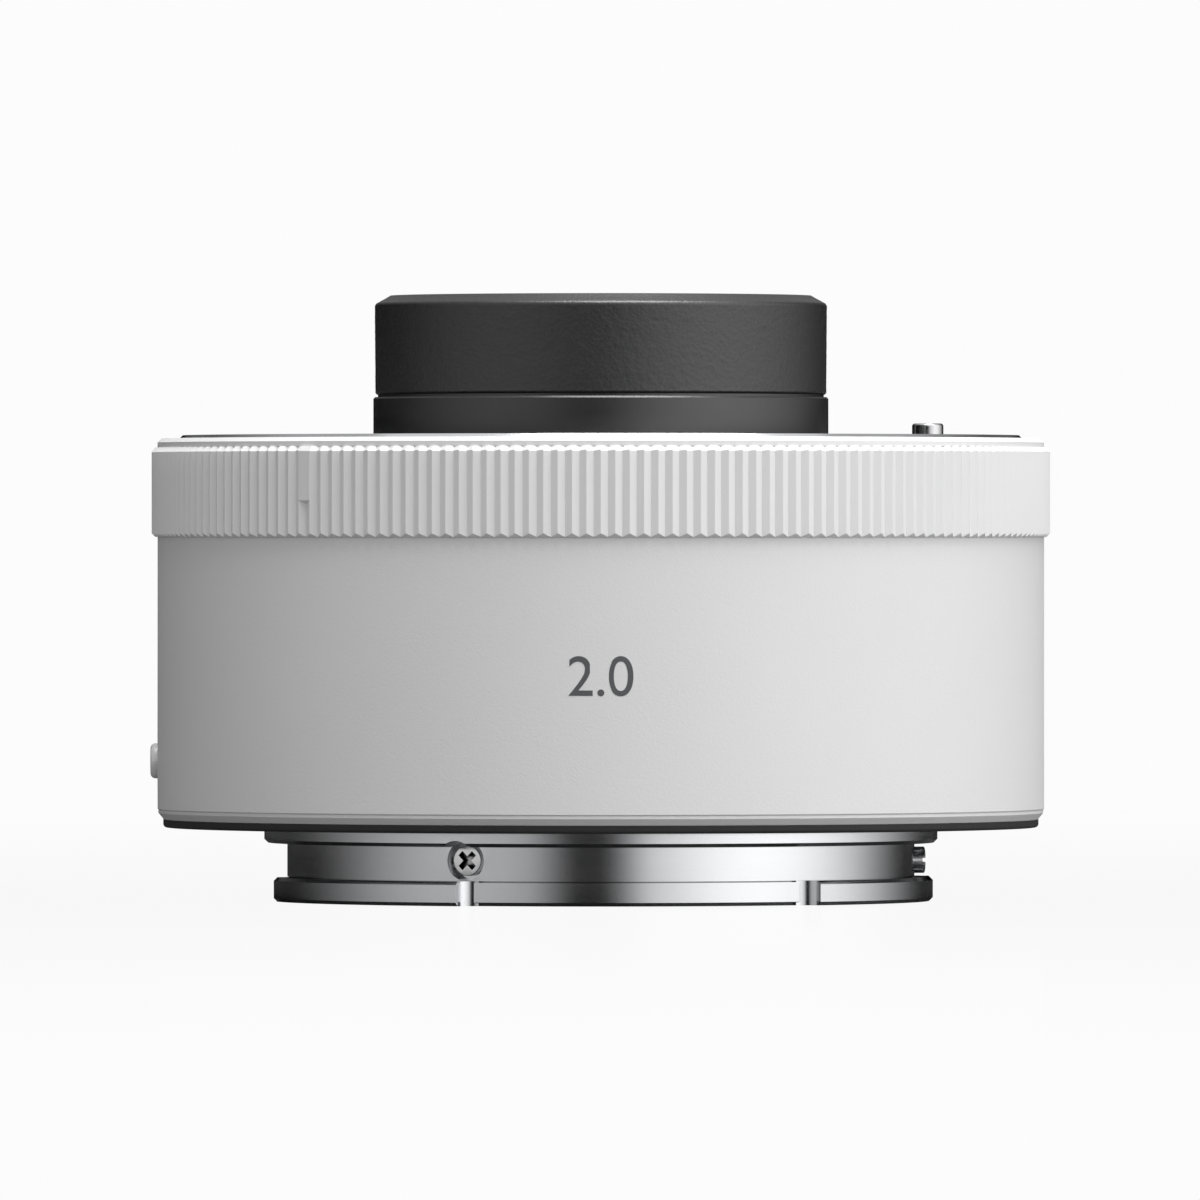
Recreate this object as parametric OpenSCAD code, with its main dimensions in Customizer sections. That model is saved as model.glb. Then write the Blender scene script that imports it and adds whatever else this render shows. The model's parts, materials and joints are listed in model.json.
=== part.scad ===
// Camera teleconverter, twice magnification, standing on its rear bayonet with its nose up.
// The origin is the centre of the rear flange's bearing face, and +Z is the optical axis.
// Azimuths are measured around Z from -Y, the side that faces the viewer, towards +X.

/* [Shell] */
// Width of the rear ring round the flange
rear_ring_w = 2.78; // [2.6:0.02:3.1]
// Wall of the main shell
shell_wall = 1.2; // [1:0.05:1.35]
// Height of the seam between the rear ring and the shell
seam_z = 1.05; // [0.95:0.05:1.3]
// Chamfer on the shell's edge at that seam
seam_chamfer = 0.1; // [0.05:0.01:0.15]
// How far the rear ring lies inside the shell's outline
rear_ring_set = 0.06; // [0.02:0.01:0.12]
// Underside of the rear ring
rear_ring_z = 0.41; // [0.35:0.01:0.5]
// Width of the rear ring's lower bevel
rear_bevel_w = 0.37; // [0.2:0.01:0.45]
// Height of the rear ring's lower bevel
rear_bevel_h = 0.45; // [0.2:0.01:0.5]
// Height of the front collar above the grip ring
collar_h = 0.63; // [0.55:0.01:0.9]
// Chamfer on the collar's top edge
collar_chamfer = 0.28; // [0.1:0.02:0.4]
// Thickness of the feet that the two mounts clamp
foot_t = 0.5; // [0.4:0.05:0.7]
// Width of the feet that the two mounts clamp
foot_w = 0.9; // [0.6:0.05:1.1]

/* [Grip ring] */
// Height of the grip ring's lower end
grip_z = 20; // [18:0.1:22]
// Height of the grip ring
grip_h = 6.2; // [5:0.1:8]
// How far the crests stand out from the shell
grip_proud = 0.42; // [0.35:0.01:0.6]
// Number of teeth round the grip ring
grip_teeth = 200; // [120:4:240]
// Depth of the grooves between the teeth
grip_depth = 0.27; // [0.15:0.01:0.32]
// Wall of the grip ring under the grooves
grip_wall = 0.7; // [0.5:0.05:0.8]
// Width of the chamfer at the grip ring's lower end
grip_low_chamfer = 0.32; // [0.28:0.01:0.5]
// Height of that chamfer
grip_low_h = 0.26; // [0.2:0.01:0.5]
// Chamfer at the grip ring's upper end
grip_top_chamfer = 0.28; // [0.2:0.01:0.4]
// Azimuth of the filled groove that marks the front index
index_az = -40.5; // [-50:0.5:-30]
// Length of the filled groove, down from the grip ring's top
index_len = 3.7; // [2:0.1:5]

/* [Front mount] */
// Width of the collar's face round the mount plate
collar_face_w = 1.54; // [1.3:0.02:1.8]
// How far the mount plate stands above the collar
plate_proud = 0.22; // [0.2:0.02:0.5]
// Thickness of the mount plate
plate_t = 1.85; // [1.7:0.05:2.2]
// Chamfer on the mount plate's edges
plate_chamfer = 0.2; // [0.1:0.05:0.3]
// Angle of each inner claw
socket_claw_span = 56; // [50:1:58]
// Thickness of the inner claws
socket_claw_t = 1.75; // [1.5:0.05:2]
// Wall that carries the inner claws
skirt_wall = 1.3; // [1:0.1:1.5]
// Depth of the well under the mount plate's face
well_depth = 6.75; // [6:0.05:7.5]
// Distance from the plate's edge to the middle of its screws
plate_screw_set = 1.64; // [1.5:0.02:1.8]
// Number of plate screws
plate_screws = 6; // [3:3:6]
// Azimuth of the first plate screw
plate_screw_az = 29; // [20:1:40]
// Radius of the painted index dot
dot_r = 0.8; // [0.5:0.1:1]
// Depth of the painted index dot
dot_t = 0.3; // [0.2:0.05:0.5]

/* [Nose] */
// Wall of the nose round the first element
nose_wall = 3; // [2.8:0.05:3.2]
// Height of the smooth nose above the mount plate
nose_h = 2.65; // [2:0.05:4]
// Gap between the smooth nose and the grained cap
nose_groove = 0.17; // [0.1:0.01:0.3]
// Depth of that gap, to the neck that the cap sits on
neck_set = 0.32; // [0.25:0.01:0.4]
// How far the grained cap lies inside the smooth nose's outline
cap_set = 0.09; // [0.05:0.01:0.2]
// Height of the grained cap
cap_h = 6.88; // [6.5:0.02:8]
// Width of the cap's top bevel
cap_bevel_w = 1.1; // [0.5:0.05:1.3]
// Height of the cap's top bevel
cap_bevel_h = 0.6; // [0.3:0.05:0.8]
// Wall of the grained cap
cap_wall = 1.05; // [0.9:0.05:1.1]
// Thickness of the cap's front lip
cap_lip = 0.85; // [0.6:0.05:1]
// Width of the cap's face round its front opening
cap_face_w = 3.41; // [3.1:0.01:4]

/* [Rear mount] */
// Width of the well between the nose and the bayonet tube
well_w = 4.8; // [4.6:0.05:5]
// Step out from the bayonet tube to the pilot
pilot_step = 1.6; // [1.45:0.01:1.75]
// Height of the pilot
pilot_h = 1.2; // [1:0.05:1.4]
// Chamfer on the pilot's lower edge
pilot_chamfer = 0.25; // [0.1:0.05:0.4]
// Wall of the bayonet tube
tube_wall = 1.17; // [1:0.01:1.3]
// Step out from the tube to the band between the claws
band_step = 0.1; // [0.05:0.01:0.2]
// Height of the groove above that band
band_groove = 0.1; // [0.06:0.01:0.2]
// Depth of that groove from the band's face
band_groove_depth = 0.3; // [0.15:0.01:0.4]
// How far the claws stand out from the tube
claw_reach = 1.28; // [1.15:0.01:1.4]
// Depth of the claws' upper faces under the flange
claw_top = 3.55; // [3.4:0.05:3.8]
// Thickness of the claws
claw_t = 1.7; // [1.5:0.05:2]
// Chamfer on the claws' edges
claw_chamfer = 0.25; // [0.1:0.05:0.4]
// Angle of each claw
claw_span = 53.7; // [48:0.1:56]
// Azimuth of the middle of the first claw
claw_az = -52.35; // [-60:0.05:-45]
// Radius of the hollow at each claw's ends
claw_fillet = 1.2; // [0.8:0.1:1.4]
// Width of the flange round the pilot
flange_w = 4.63; // [4.4:0.01:4.9]
// Play between the two halves of a bayonet
mount_play = 0.13; // [0.08:0.01:0.2]
// Turn that locks the bayonet
mount_turn = 60; // [58:0.5:62]
// How far the rubber seal stands below the flange
seal_proud = 0.15; // [0.05:0.01:0.25]
// How far the seal lies inside the shell's outline
seal_set = 0.4; // [0.3:0.02:0.6]
// Width of the seal's lip
seal_lip_w = 1.1; // [0.8:0.1:1.4]
// Thickness of the seal's base
seal_base_t = 0.36; // [0.25:0.01:0.4]
// Distance from the flange's edge to the middle of its screws
rear_screw_set = 2.3; // [2.2:0.05:2.6]
// Number of rear mount screws
rear_screws = 4; // [2:2:4]
// Azimuth of the first rear mount screw
rear_screw_az = 7.5; // [0:0.5:15]
// Azimuth of the rear index bump
bump_az = -90; // [-92:0.5:-88]
// Height of the rear index bump's middle
bump_z = 4.45; // [3:0.05:6]
// Radius of the rear index bump
bump_r = 1.22; // [0.9:0.02:1.5]
// How far the rear index bump stands out
bump_proud = 0.49; // [0.3:0.01:0.6]
// Depth of the rear index bump's socket in the shell
bump_seat = 0.8; // [0.5:0.05:0.9]

/* [Bayonet screws] */
// Azimuth of the first of three screws through the bayonet tube; the second is the stop screw
tube_screw_az = -25.2; // [-28:0.1:-22]
// Depth of the two sunk screws under the flange
tube_screw_z = 2.15; // [2.05:0.05:2.2]
// Radius of the sunk heads
tube_head_r = 1.04; // [0.9:0.02:1.1]
// How far the sunk heads lie inside the tube's surface
tube_head_sink = 0.29; // [0.2:0.01:0.35]
// Radius of the sunk heads' counterbores
tube_bore_r = 1.38; // [1.3:0.02:1.4]
// Depth of the counterbores of all three screws
tube_bore_depth = 0.8; // [0.7:0.02:0.84]
// Depth of the stop screw under the flange
stop_z = 2.45; // [2.4:0.01:2.5]
// Radius of the stop screw's head
stop_head_r = 0.92; // [0.8:0.02:0.94]
// How far the stop screw's head stands out from the tube
stop_proud = 0.81; // [0.5:0.01:0.9]
// Width of the stop screw's slot
stop_slot_w = 0.28; // [0.2:0.02:0.4]
// Depth of the stop screw's slot
stop_slot_depth = 0.22; // [0.15:0.01:0.3]
// Length of the shanks under the heads
tube_shank = 2.9; // [2.5:0.1:3.1]

/* [Lens lock] */
// Radius of the lock pin
pin_r = 1.1; // [1:0.02:1.2]
// Distance from the mount plate's edge to the middle of the lock pin
pin_set = 3.04; // [2.9:0.02:3.3]
// Azimuth of the lock pin
pin_az = 119; // [112:0.5:124]
// How far the lock pin stands above the mount plate
pin_proud = 0.9; // [0.6:0.05:1.2]
// Travel of the lock pin
pin_travel = 1.1; // [0.9:0.05:1.3]
// Turn of the release lever for that travel
lever_turn = 5; // [4:0.5:6]
// Running clearance of the lock pin in its guide
pin_fit = 0.05; // [0.02:0.01:0.1]
// Width of the lock pin's collar
pin_collar_w = 0.5; // [0.4:0.05:0.55]
// Thickness of the lock pin's collar
pin_collar_t = 0.8; // [0.6:0.1:1]
// Length of the lock pin's spring
pin_spring_len = 4.2; // [3.5:0.1:5]
// Radius of the lock pin's cross peg
peg_r = 0.55; // [0.45:0.05:0.6]
// Height of the lever's pocket
lever_pocket_h = 4.4; // [4.2:0.1:4.8]
// Thickness of the lever's plate
lever_t = 0.95; // [0.8:0.05:1]
// Width of the lever's neck through the shell
lever_neck_w = 3; // [2.5:0.1:4]
// Width of the lever's finger pad
lever_pad_w = 5; // [4.5:0.1:6]
// How far the finger pad stands out from the shell
lever_proud = 1.4; // [1:0.1:2]
// Length of the lever's return spring
lever_spring_len = 4.6; // [4:0.1:5.5]

/* [Contacts] */
// Number of contacts
contacts = 10; // [6:1:11]
// Angle from one contact to the next
contact_pitch = 6; // [5.5:0.1:6.2]
// Azimuth of the middle of the front contacts
contact_az = 50; // [47:1:52]
// Depth of the contact plane under a mount's face
contact_depth = 4.65; // [4.5:0.05:4.7]
// Travel of the sprung contact pins
contact_travel = 0.6; // [0.4:0.05:0.7]
// Radius of the contact pins
contact_r = 0.45; // [0.35:0.05:0.5]
// Radius of the contact pins' bores
contact_bore_r = 0.75; // [0.7:0.05:0.8]
// Width of the rear contact pads
pad_w = 1.2; // [0.8:0.05:1.3]
// Length of the rear contact pads
pad_len = 2.6; // [2:0.1:2.8]

/* [Chassis] */
// Wall of the chassis
chassis_wall = 2; // [1.9:0.05:2.1]
// Thickness of the web that carries the lens barrel
web_t = 2; // [1.8:0.1:2.5]
// Space between the web and the well's floor
floor_rise = 2.1; // [2:0.1:2.6]
// Thickness of the well's floor
floor_t = 0.8; // [0.6:0.05:1]
// Thickness of the ledge under the front mount
front_ledge_t = 3.8; // [3.2:0.1:4]
// Thickness of the ledge over the rear mount
rear_ledge_t = 2.4; // [2.2:0.1:3]
// How far that ledge reaches in from the flange's edge
rear_ledge_w = 4; // [3.8:0.1:4.5]
// Thickness of the circuit board
board_t = 0.8; // [0.6:0.1:1]
// Thickness of the flexible circuits
flex_t = 0.15; // [0.1:0.05:0.2]

/* [Lens barrel] */
// Step out from the nose to the barrel under the web
barrel_step = 0.7; // [0.5:0.1:0.9]
// Width of the barrel's flange
barrel_flange_w = 4.1; // [3.7:0.1:4.3]
// Thickness of the barrel's flange
barrel_flange_t = 1.8; // [1.5:0.1:2.2]
// Distance from the edge of the barrel's flange to the middle of its screws
barrel_screw_set = 1.9; // [1.7:0.1:2.1]
// Wall of the element spacers and retaining rings
spacer_wall = 0.8; // [0.6:0.05:0.9]
// Height of the two retaining rings
retainer_h = 1.6; // [1.4:0.1:2]
// Step of the retaining rings' threads over their elements
retainer_step = 0.45; // [0.3:0.05:0.5]
// Width of the stop inside the triplet's outline
stop_w = 0.9; // [0.8:0.1:1.8]
// Radius of the first element
single_r = 12.8; // [12.6:0.05:13]
// Step in from the first element to the doublet
doublet_step = 1.2; // [1:0.05:1.4]
// Step in from the doublet to the triplet
triplet_step = 0.8; // [0.6:0.05:1]
// Step out from the triplet to the seventh element
field_step = 1.8; // [1.6:0.05:2]
// Step out from the seventh element to the eighth
rear_step = 1.4; // [1.2:0.05:1.5]
// Depth of the first element's vertex under the cap's top
vertex_depth = 2.35; // [2.2:0.05:2.6]
// Distances from one glass surface to the next along the axis, front to rear
glass_steps = [3.8, 0.7, 4.7, 1.4, 3.82, 1.38, 6.6, 1.4, 2.42, 4.28, 1.3, 3.2];
// Radii of the glass surfaces, positive where the front side bulges, front to rear
glass_radii = [45, -120, 38, -30, 60, -40, 28, -28, 70, -80, -28, -45, -200];

/* [Clearances] */
// Slip between the chassis and the shell
shell_slip = 0.08; // [0.04:0.01:0.12]
// Gap between fixed pieces that sit side by side
seat_gap = 0.06; // [0.03:0.01:0.1]
// Running gap round the moving pieces
run_gap = 0.1; // [0.08:0.01:0.12]
// Gap round the glass
glass_gap = 0.02; // [0.01:0.005:0.04]

/* [Hidden] */
$fn = 128;
glass_fn = 360;

// Past a face that a cut goes through
over = 1;
// How far shapes that join run into each other
lap = 0.01;
// Heights of the outer stack
collar_z = grip_z + grip_h;
collar_top = collar_z + collar_h;
plate_z = collar_top + plate_proud;
plate_seat_z = plate_z - plate_t;
shoulder_z = plate_z + nose_h;
cap_z = shoulder_z + nose_groove;
cap_top = cap_z + cap_h;
rear_seat_z = seam_z + foot_t;
claw_bottom = claw_top + claw_t;
// Radii from the glass outwards
doublet_r = single_r - doublet_step;
triplet_r = doublet_r - triplet_step;
field_r = triplet_r + field_step;
rear_r = field_r + rear_step;
stop_r = triplet_r - stop_w;
nose_r = single_r + nose_wall;
cap_r = nose_r - cap_set;
cap_opening_r = cap_r - cap_face_w;
barrel_r = nose_r + barrel_step;
barrel_flange_r = barrel_r + barrel_flange_w;
barrel_screw_ring = barrel_flange_r - barrel_screw_set;
barrel_joint_r = (triplet_r + nose_r) / 2;
tube_in_r = nose_r + well_w;
tube_r = tube_in_r + tube_wall;
band_r = tube_r + band_step;
claw_r = tube_r + claw_reach;
pilot_r = tube_r + pilot_step;
flange_r = pilot_r + flange_w;
rear_screw_ring = flange_r - rear_screw_set;
rear_ledge_r = flange_r - rear_ledge_w;
shell_r = flange_r + rear_ring_w;
shell_in_r = shell_r - shell_wall;
chassis_r = shell_in_r - shell_slip;
chassis_in_r = chassis_r - chassis_wall;
grip_r = shell_r + grip_proud;
grip_root_r = grip_r - grip_depth;
grip_seat_r = grip_root_r - grip_wall;
plate_r = shell_r - collar_face_w;
plate_screw_ring = plate_r - plate_screw_set;
pin_ring = plate_r - pin_set;
collar_foot_r = plate_r - foot_w;
hub_r = flange_r - foot_w - seat_gap;
seal_r = shell_r - seal_set;
// The socket half of the bayonet, sized from the plug half
plate_bore_r = pilot_r + mount_play;
socket_claw_r = tube_r + band_step + mount_play;
skirt_r = plate_bore_r + skirt_wall;
socket_turn = index_az - bump_az - mount_turn;
claw_room = 0.3;
socket_claw_top = plate_z - pilot_h - claw_room;
dot_gap = 0.02;
socket_claw_low = socket_claw_top - socket_claw_t;
// The well behind the front mount
floor_top = plate_z - well_depth;
web_top = floor_top - floor_t - floor_rise;
web_z = web_top - web_t;
skirt_gap = 0.4;
ledge_r = skirt_r + skirt_gap;
ledge_z = plate_seat_z - front_ledge_t;
board_z = rear_seat_z + rear_ledge_t;
board_top = board_z + board_t;
board_gap = 2;
board_in_r = barrel_r + board_gap;
board_edge_gap = 0.4;
// Screws and their holes
screw_r = 0.7;
screw_gap = 0.03;
small_screw_r = 0.5;
countersink_r = 1.25;
countersink_h = 0.6;
countersink_gap = 0.08;
head_sink = 0.08;
cheese_r = 1.15;
small_cheese_r = 0.95;
cheese_h = 0.9;
thread_len = 2.2;
thread_room = 0.2;
hole_floor = 0.3;
cross_w = 0.39;
cross_span = 1.45;
cross_depth = 0.45;
// Azimuths of the first of three screws each, and the circle of the floor's screws
board_screw_az = 45;
barrel_screw_az = 30;
baffle_screw_az = -10;
baffle_screw_set = 2.2;
baffle_screw_ring = skirt_r - baffle_screw_set;
tube_bore_floor = tube_r - tube_bore_depth;
// Contacts
contact_half = (contacts - 1) * contact_pitch / 2;
contact_tip_z = plate_z - contact_depth + contact_travel;
block_gap = 0.6;
block_in_r = nose_r + block_gap;
block_play = 0.2;
block_out_r = tube_in_r - block_play;
contact_ring = (block_in_r + block_out_r) / 2;
block_top = plate_z - contact_depth - block_play;
block_lip = 0.6;
block_half = contact_half + contact_pitch;
block_foot_w = 0.8;
block_foot_az = 3.5;
block_foot_half = block_half + block_foot_az;
block_foot_set = 0.3;
block_slot_az = 0.3;
contact_flange_t = 0.5;
contact_flange_gap = 0.08;
contact_flange_r = contact_bore_r - contact_flange_gap;
contact_stop_gap = 0.05;
contact_flange_z = block_top - block_lip - contact_stop_gap - contact_flange_t;
block_z = web_top + flex_t;
block_floor_t = 0.4;
spring_cup_z = block_z + block_floor_t;
rear_contact_az = contact_az - socket_turn;
pad_proud = 0.05;
// Flexible circuits
flex_gap = 1.2;
flex_r = block_out_r + flex_gap;
flex_half = 9;
flex_room = 0.25;
flex_room_az = 0.6;
flex_tab_az = 2;
rear_flex_gap = 0.2;
rear_flex_tab = 1.8;
// Lens lock
lock_hole_az = pin_az - socket_turn;
boss_r = 2.7;
boss_drop = 0.1;
boss_gap = 0.2;
pin_collar_gap = 0.15;
spring_bore_r = pin_r + pin_collar_w + pin_collar_gap;
pin_stop_gap = 0.05;
pin_collar_top = plate_seat_z - pin_stop_gap;
pin_spring_top = pin_collar_top - pin_collar_t;
pin_spring_z = pin_spring_top - pin_spring_len;
pocket_top = web_z - run_gap;
pocket_z = pocket_top - lever_pocket_h;
lever_z = (pocket_z + pocket_top) / 2;
lever_set = 0.05;
lever_out_r = chassis_r - lever_set;
lever_in_r = lever_out_r - lever_t;
pocket_r = lever_in_r - run_gap;
lever_mid_r = (lever_in_r + lever_out_r) / 2;
peg_z = (pocket_z + pocket_top + pin_travel) / 2;
peg_set = 0.15;
peg_end_r = lever_out_r - peg_set;
peg_tail = 0.2;
slot_r = peg_r + run_gap;
lever_tail_az = 3.2;
lever_low_az = -lever_turn - lever_tail_az;
lever_high_az = 8;
pocket_room_az = 0.4;
pocket_low_az = lever_low_az - pocket_room_az;
spring_az = lever_spring_len / lever_mid_r * 180 / PI;
spring_room_az = 0.2;
pocket_high_az = lever_high_az + spring_az + spring_room_az;
neck_shoulder = 0.9;
neck_h = lever_pocket_h - 2 * neck_shoulder;
neck_room_az = 0.5;
neck_az = asin(lever_neck_w / 2 / shell_r);
pad_az = asin(lever_pad_w / 2 / shell_r);
// Optics; a hollow glass surface ends in a flat rim
glass_rim = 0.3;
retainer_relief = 0.1;
barrel_rim = 0.4;
glass_z = [for (i = 0, z = cap_top - vertex_depth; i <= len(glass_steps);
  z = z - (i < len(glass_steps) ? glass_steps[i] : 0), i = i + 1) z];
front_retainer_z = glass_at(0, single_r - spacer_wall) + glass_gap;
single_seat_z = glass_at(1, doublet_r + glass_gap) - glass_gap;
doublet_seat_z = rim_at(4, doublet_r) - glass_gap;
triplet_seat_z = rim_at(5, triplet_r) + glass_gap;
field_seat_z = rim_at(9, field_r) + glass_gap;
rear_glass_seat_z = rim_at(11, rear_r) + glass_gap;
rear_retainer_z = glass_at(12, rear_r - spacer_wall) - glass_gap;
barrel_top = cap_top - cap_lip;
barrel_end = rear_retainer_z - retainer_h - barrel_rim;
spigot_r = cap_r - cap_wall - seat_gap;
// Baffles
baffle_gap = 0.25;
baffle_edge_gap = 0.3;
baffle_wall = 1;
baffle_post_r = 1.4;
baffle_face_z = pad_proud - contact_depth;
baffle_plate_t = 1.6;
baffle_top_set = 0.6;
baffle_shade = 0.6;
baffle_in_r = rear_r + baffle_shade;
baffle_bevel = 0.4;
baffle_wall_gap = 0.5;
baffle_slot_az = 3;

// Height of glass surface i at a distance r from the axis
function glass_at(i, r) = glass_z[i] - sign(glass_radii[i])
  * (abs(glass_radii[i]) - sqrt(pow(glass_radii[i], 2) - r * r));

// Height of the flat rim round the hollow glass surface i on an element of radius r
function rim_at(i, r) = glass_at(i, r - glass_rim);

// Azimuth of the middle of socket claw i, where the plug's claw i comes to rest
function socket_az(i) = claw_az + socket_turn + 120 * i;

// Is surface i a cemented joint between two elements?
function cemented(i) = i == 3 || i == 6 || i == 7;

// Points of a helix tube round Z, one ring of six points for each step
function coil_ring(r, wire, pitch, a) = [for (k = [0 : 5])
  [(r + wire * cos(60 * k)) * cos(a), (r + wire * cos(60 * k)) * sin(a),
   pitch * a / 360 + wire * sin(60 * k)]];

// A plain ring
module ring(r_in, r_out, z0, z1) {
  rotate_extrude() translate([r_in, z0]) square([r_out - r_in, z1 - z0]);
}

// Part of a ring from azimuth a0 to azimuth a1
module sector(r_in, r_out, z0, z1, a0, a1) {
  arc(a0, a1) translate([r_in, z0]) square([r_out - r_in, z1 - z0]);
}

// A profile turned from azimuth a0 to azimuth a1
module arc(a0, a1) {
  rotate([0, 0, a0 - 90]) rotate_extrude(angle = a1 - a0) children();
}

// Moves a piece to azimuth az, r from the axis
module at_az(az, r) {
  rotate([0, 0, az]) translate([0, -r, 0]) children();
}

// Lays a piece along the radius at azimuth az, with its +Z outwards
module radial(az, r, z) {
  at_az(az, r) translate([0, 0, z]) rotate([90, 0, 0]) children();
}

// Copies a piece n times round the axis from azimuth az
module around(n, az, r) {
  for (i = [0 : n - 1]) at_az(az + 360 * i / n, r) children();
}

// A cross recess cut down from z = 0
module cross_recess() {
  for (a = [45, 135]) rotate([0, 0, a]) translate([0, 0, -cross_depth / 2 + over / 2])
    cube([cross_span, cross_w, cross_depth + over], center = true);
}

// A countersunk screw whose head is flush with z = 0
module countersunk_screw(length) {
  difference() {
    union() {
      translate([0, 0, -countersink_h]) cylinder(r1 = screw_r, r2 = countersink_r, h = countersink_h);
      translate([0, 0, -length]) cylinder(r = screw_r, h = length - countersink_h + lap);
    }
    cross_recess();
  }
}

// The hole for a countersunk screw, down from z = 0
module countersunk_hole(depth) {
  rise = head_sink + over;
  wide = countersink_r + countersink_gap;
  translate([0, 0, -head_sink]) cylinder(r = wide, h = rise);
  translate([0, 0, -head_sink - countersink_h])
    cylinder(r1 = screw_r + countersink_gap, r2 = wide, h = countersink_h);
  translate([0, 0, -depth - over]) cylinder(r = screw_r + screw_gap, h = depth + over);
}

// A cheese head screw that stands on z = 0 with its shank downwards
module cheese_screw(r, head_r, length) {
  difference() {
    union() {
      cylinder(r = head_r, h = cheese_h);
      translate([0, 0, -length]) cylinder(r = r, h = length + lap);
    }
    translate([0, 0, cheese_h]) cross_recess();
  }
}

// A tapped hole down from z = 0
module tapped_hole(r, depth) {
  translate([0, 0, -depth]) cylinder(r = r + screw_gap, h = depth + over);
}

// A helical spring that stands on z = 0
module coil(r, wire, length, turns) {
  steps = turns * 8;
  pitch = (length - 2 * wire) / turns;
  points = [for (i = [0 : steps]) each coil_ring(r, wire, pitch, 45 * i)];
  sides = [for (i = [0 : steps - 1], k = [0 : 5]) each
    let(a = 6 * i + k, b = 6 * i + (k + 1) % 6) [[a, a + 6, b + 6], [a, b + 6, b]]];
  ends = [for (k = [1 : 4]) each
    [[0, k, k + 1], [6 * steps, 6 * steps + k + 1, 6 * steps + k]]];
  translate([0, 0, wire]) polyhedron(points, concat(sides, ends));
}

// A slot with round ends from one point to another in the tangent plane, cut along the radius
module slanted_slot(r, from, to, depth) {
  run = to - from;
  a = atan2(run[1], run[0]);
  linear_extrude(depth) polygon(concat(
    [for (t = [-90 : 10 : 90]) to + r * [cos(a + t), sin(a + t)]],
    [for (t = [90 : 10 : 270]) from + r * [cos(a + t), sin(a + t)]]));
}

module main_shell() color("whitesmoke") difference() {
  rotate_extrude() polygon([
    [shell_in_r, seam_z], [shell_r - seam_chamfer, seam_z], [shell_r, seam_z + seam_chamfer],
    [shell_r, grip_z], [grip_seat_r, grip_z],
    [grip_seat_r, collar_z], [shell_in_r, collar_z]]);
  radial(bump_az, shell_r - bump_seat, bump_z)
    cylinder(r = bump_r + seat_gap, h = bump_seat + over);
  sector(shell_in_r - over, shell_r + over, lever_z - neck_h / 2 - run_gap,
    lever_z + neck_h / 2 + run_gap, pin_az - neck_az - neck_room_az,
    pin_az + neck_az + lever_turn + neck_room_az);
}

module grip_ring() color("white") {
  pitch = 360 / grip_teeth;
  crest_half = grip_r * sin(pitch / 2);
  flat_r = grip_r * cos(pitch / 2);
  index_low = collar_z - index_len;
  intersection() {
    union() {
      difference() {
        translate([0, 0, grip_z]) rotate([0, 0, index_az - 90]) linear_extrude(grip_h)
          polygon([for (i = [0 : grip_teeth - 1], k = [0, 1])
            let(a = (i + k / 2) * pitch, r = k == 1 ? grip_r : grip_root_r)
            [r * cos(a), r * sin(a)]]);
        translate([0, 0, grip_z - over]) cylinder(r = grip_seat_r + seat_gap, h = grip_h + 2 * over);
      }
      at_az(index_az, 0) rotate([90, 0, -90]) linear_extrude(2 * crest_half, center = true)
        polygon([[grip_root_r - grip_wall / 2, index_low - grip_depth],
          [grip_root_r, index_low - grip_depth], [flat_r, index_low], [flat_r, collar_z],
          [grip_root_r - grip_wall / 2, collar_z]]);
    }
    rotate([0, 0, index_az + pitch / 4]) rotate_extrude() polygon([
      [grip_seat_r - over, grip_z], [grip_r - grip_low_chamfer, grip_z],
      [grip_r + lap, grip_z + grip_low_h + lap * grip_low_h / grip_low_chamfer],
      [grip_r + lap, collar_z - grip_top_chamfer - lap],
      [grip_r - grip_top_chamfer, collar_z], [grip_seat_r - over, collar_z]]);
  }
}

module front_collar() color("whitesmoke") rotate_extrude() polygon([
  [collar_foot_r, plate_seat_z], [chassis_r, plate_seat_z], [chassis_r, collar_z],
  [shell_r, collar_z], [shell_r, collar_top - collar_chamfer],
  [shell_r - collar_chamfer, collar_top], [plate_r + seat_gap, collar_top],
  [plate_r + seat_gap, plate_seat_z + foot_t], [collar_foot_r, plate_seat_z + foot_t]]);

module rear_ring() color("whitesmoke") rotate_extrude() polygon([
  [hub_r + seat_gap, seam_z], [flange_r + seat_gap, seam_z], [flange_r + seat_gap, rear_ring_z],
  [shell_r - rear_ring_set - rear_bevel_w, rear_ring_z],
  [shell_r - rear_ring_set, rear_ring_z + rear_bevel_h], [shell_r - rear_ring_set, seam_z],
  [flange_r + foot_w, seam_z], [flange_r + foot_w, rear_seat_z],
  [hub_r + seat_gap, rear_seat_z]]);

module rear_seal() color("#242424") {
  base_z = rear_ring_z - seal_base_t;
  corner = 0.24;
  rotate_extrude() polygon([
    [flange_r + seat_gap, base_z], [seal_r - seal_lip_w, base_z],
    [seal_r - seal_lip_w, -seal_proud], [seal_r - corner, -seal_proud],
    [seal_r, corner - seal_proud], [seal_r, rear_ring_z], [flange_r + seat_gap, rear_ring_z]]);
}

module rear_index_bump() color("white") {
  top = bump_seat + bump_proud;
  round_share = 0.7;
  round = bump_proud * round_share;
  radial(bump_az, shell_r - bump_seat, bump_z) rotate_extrude() union() {
    square([bump_r, top - round]);
    square([bump_r - round, top]);
    translate([bump_r - round, top - round]) intersection() {
      circle(r = round);
      square(round);
    }
  }
}

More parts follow.
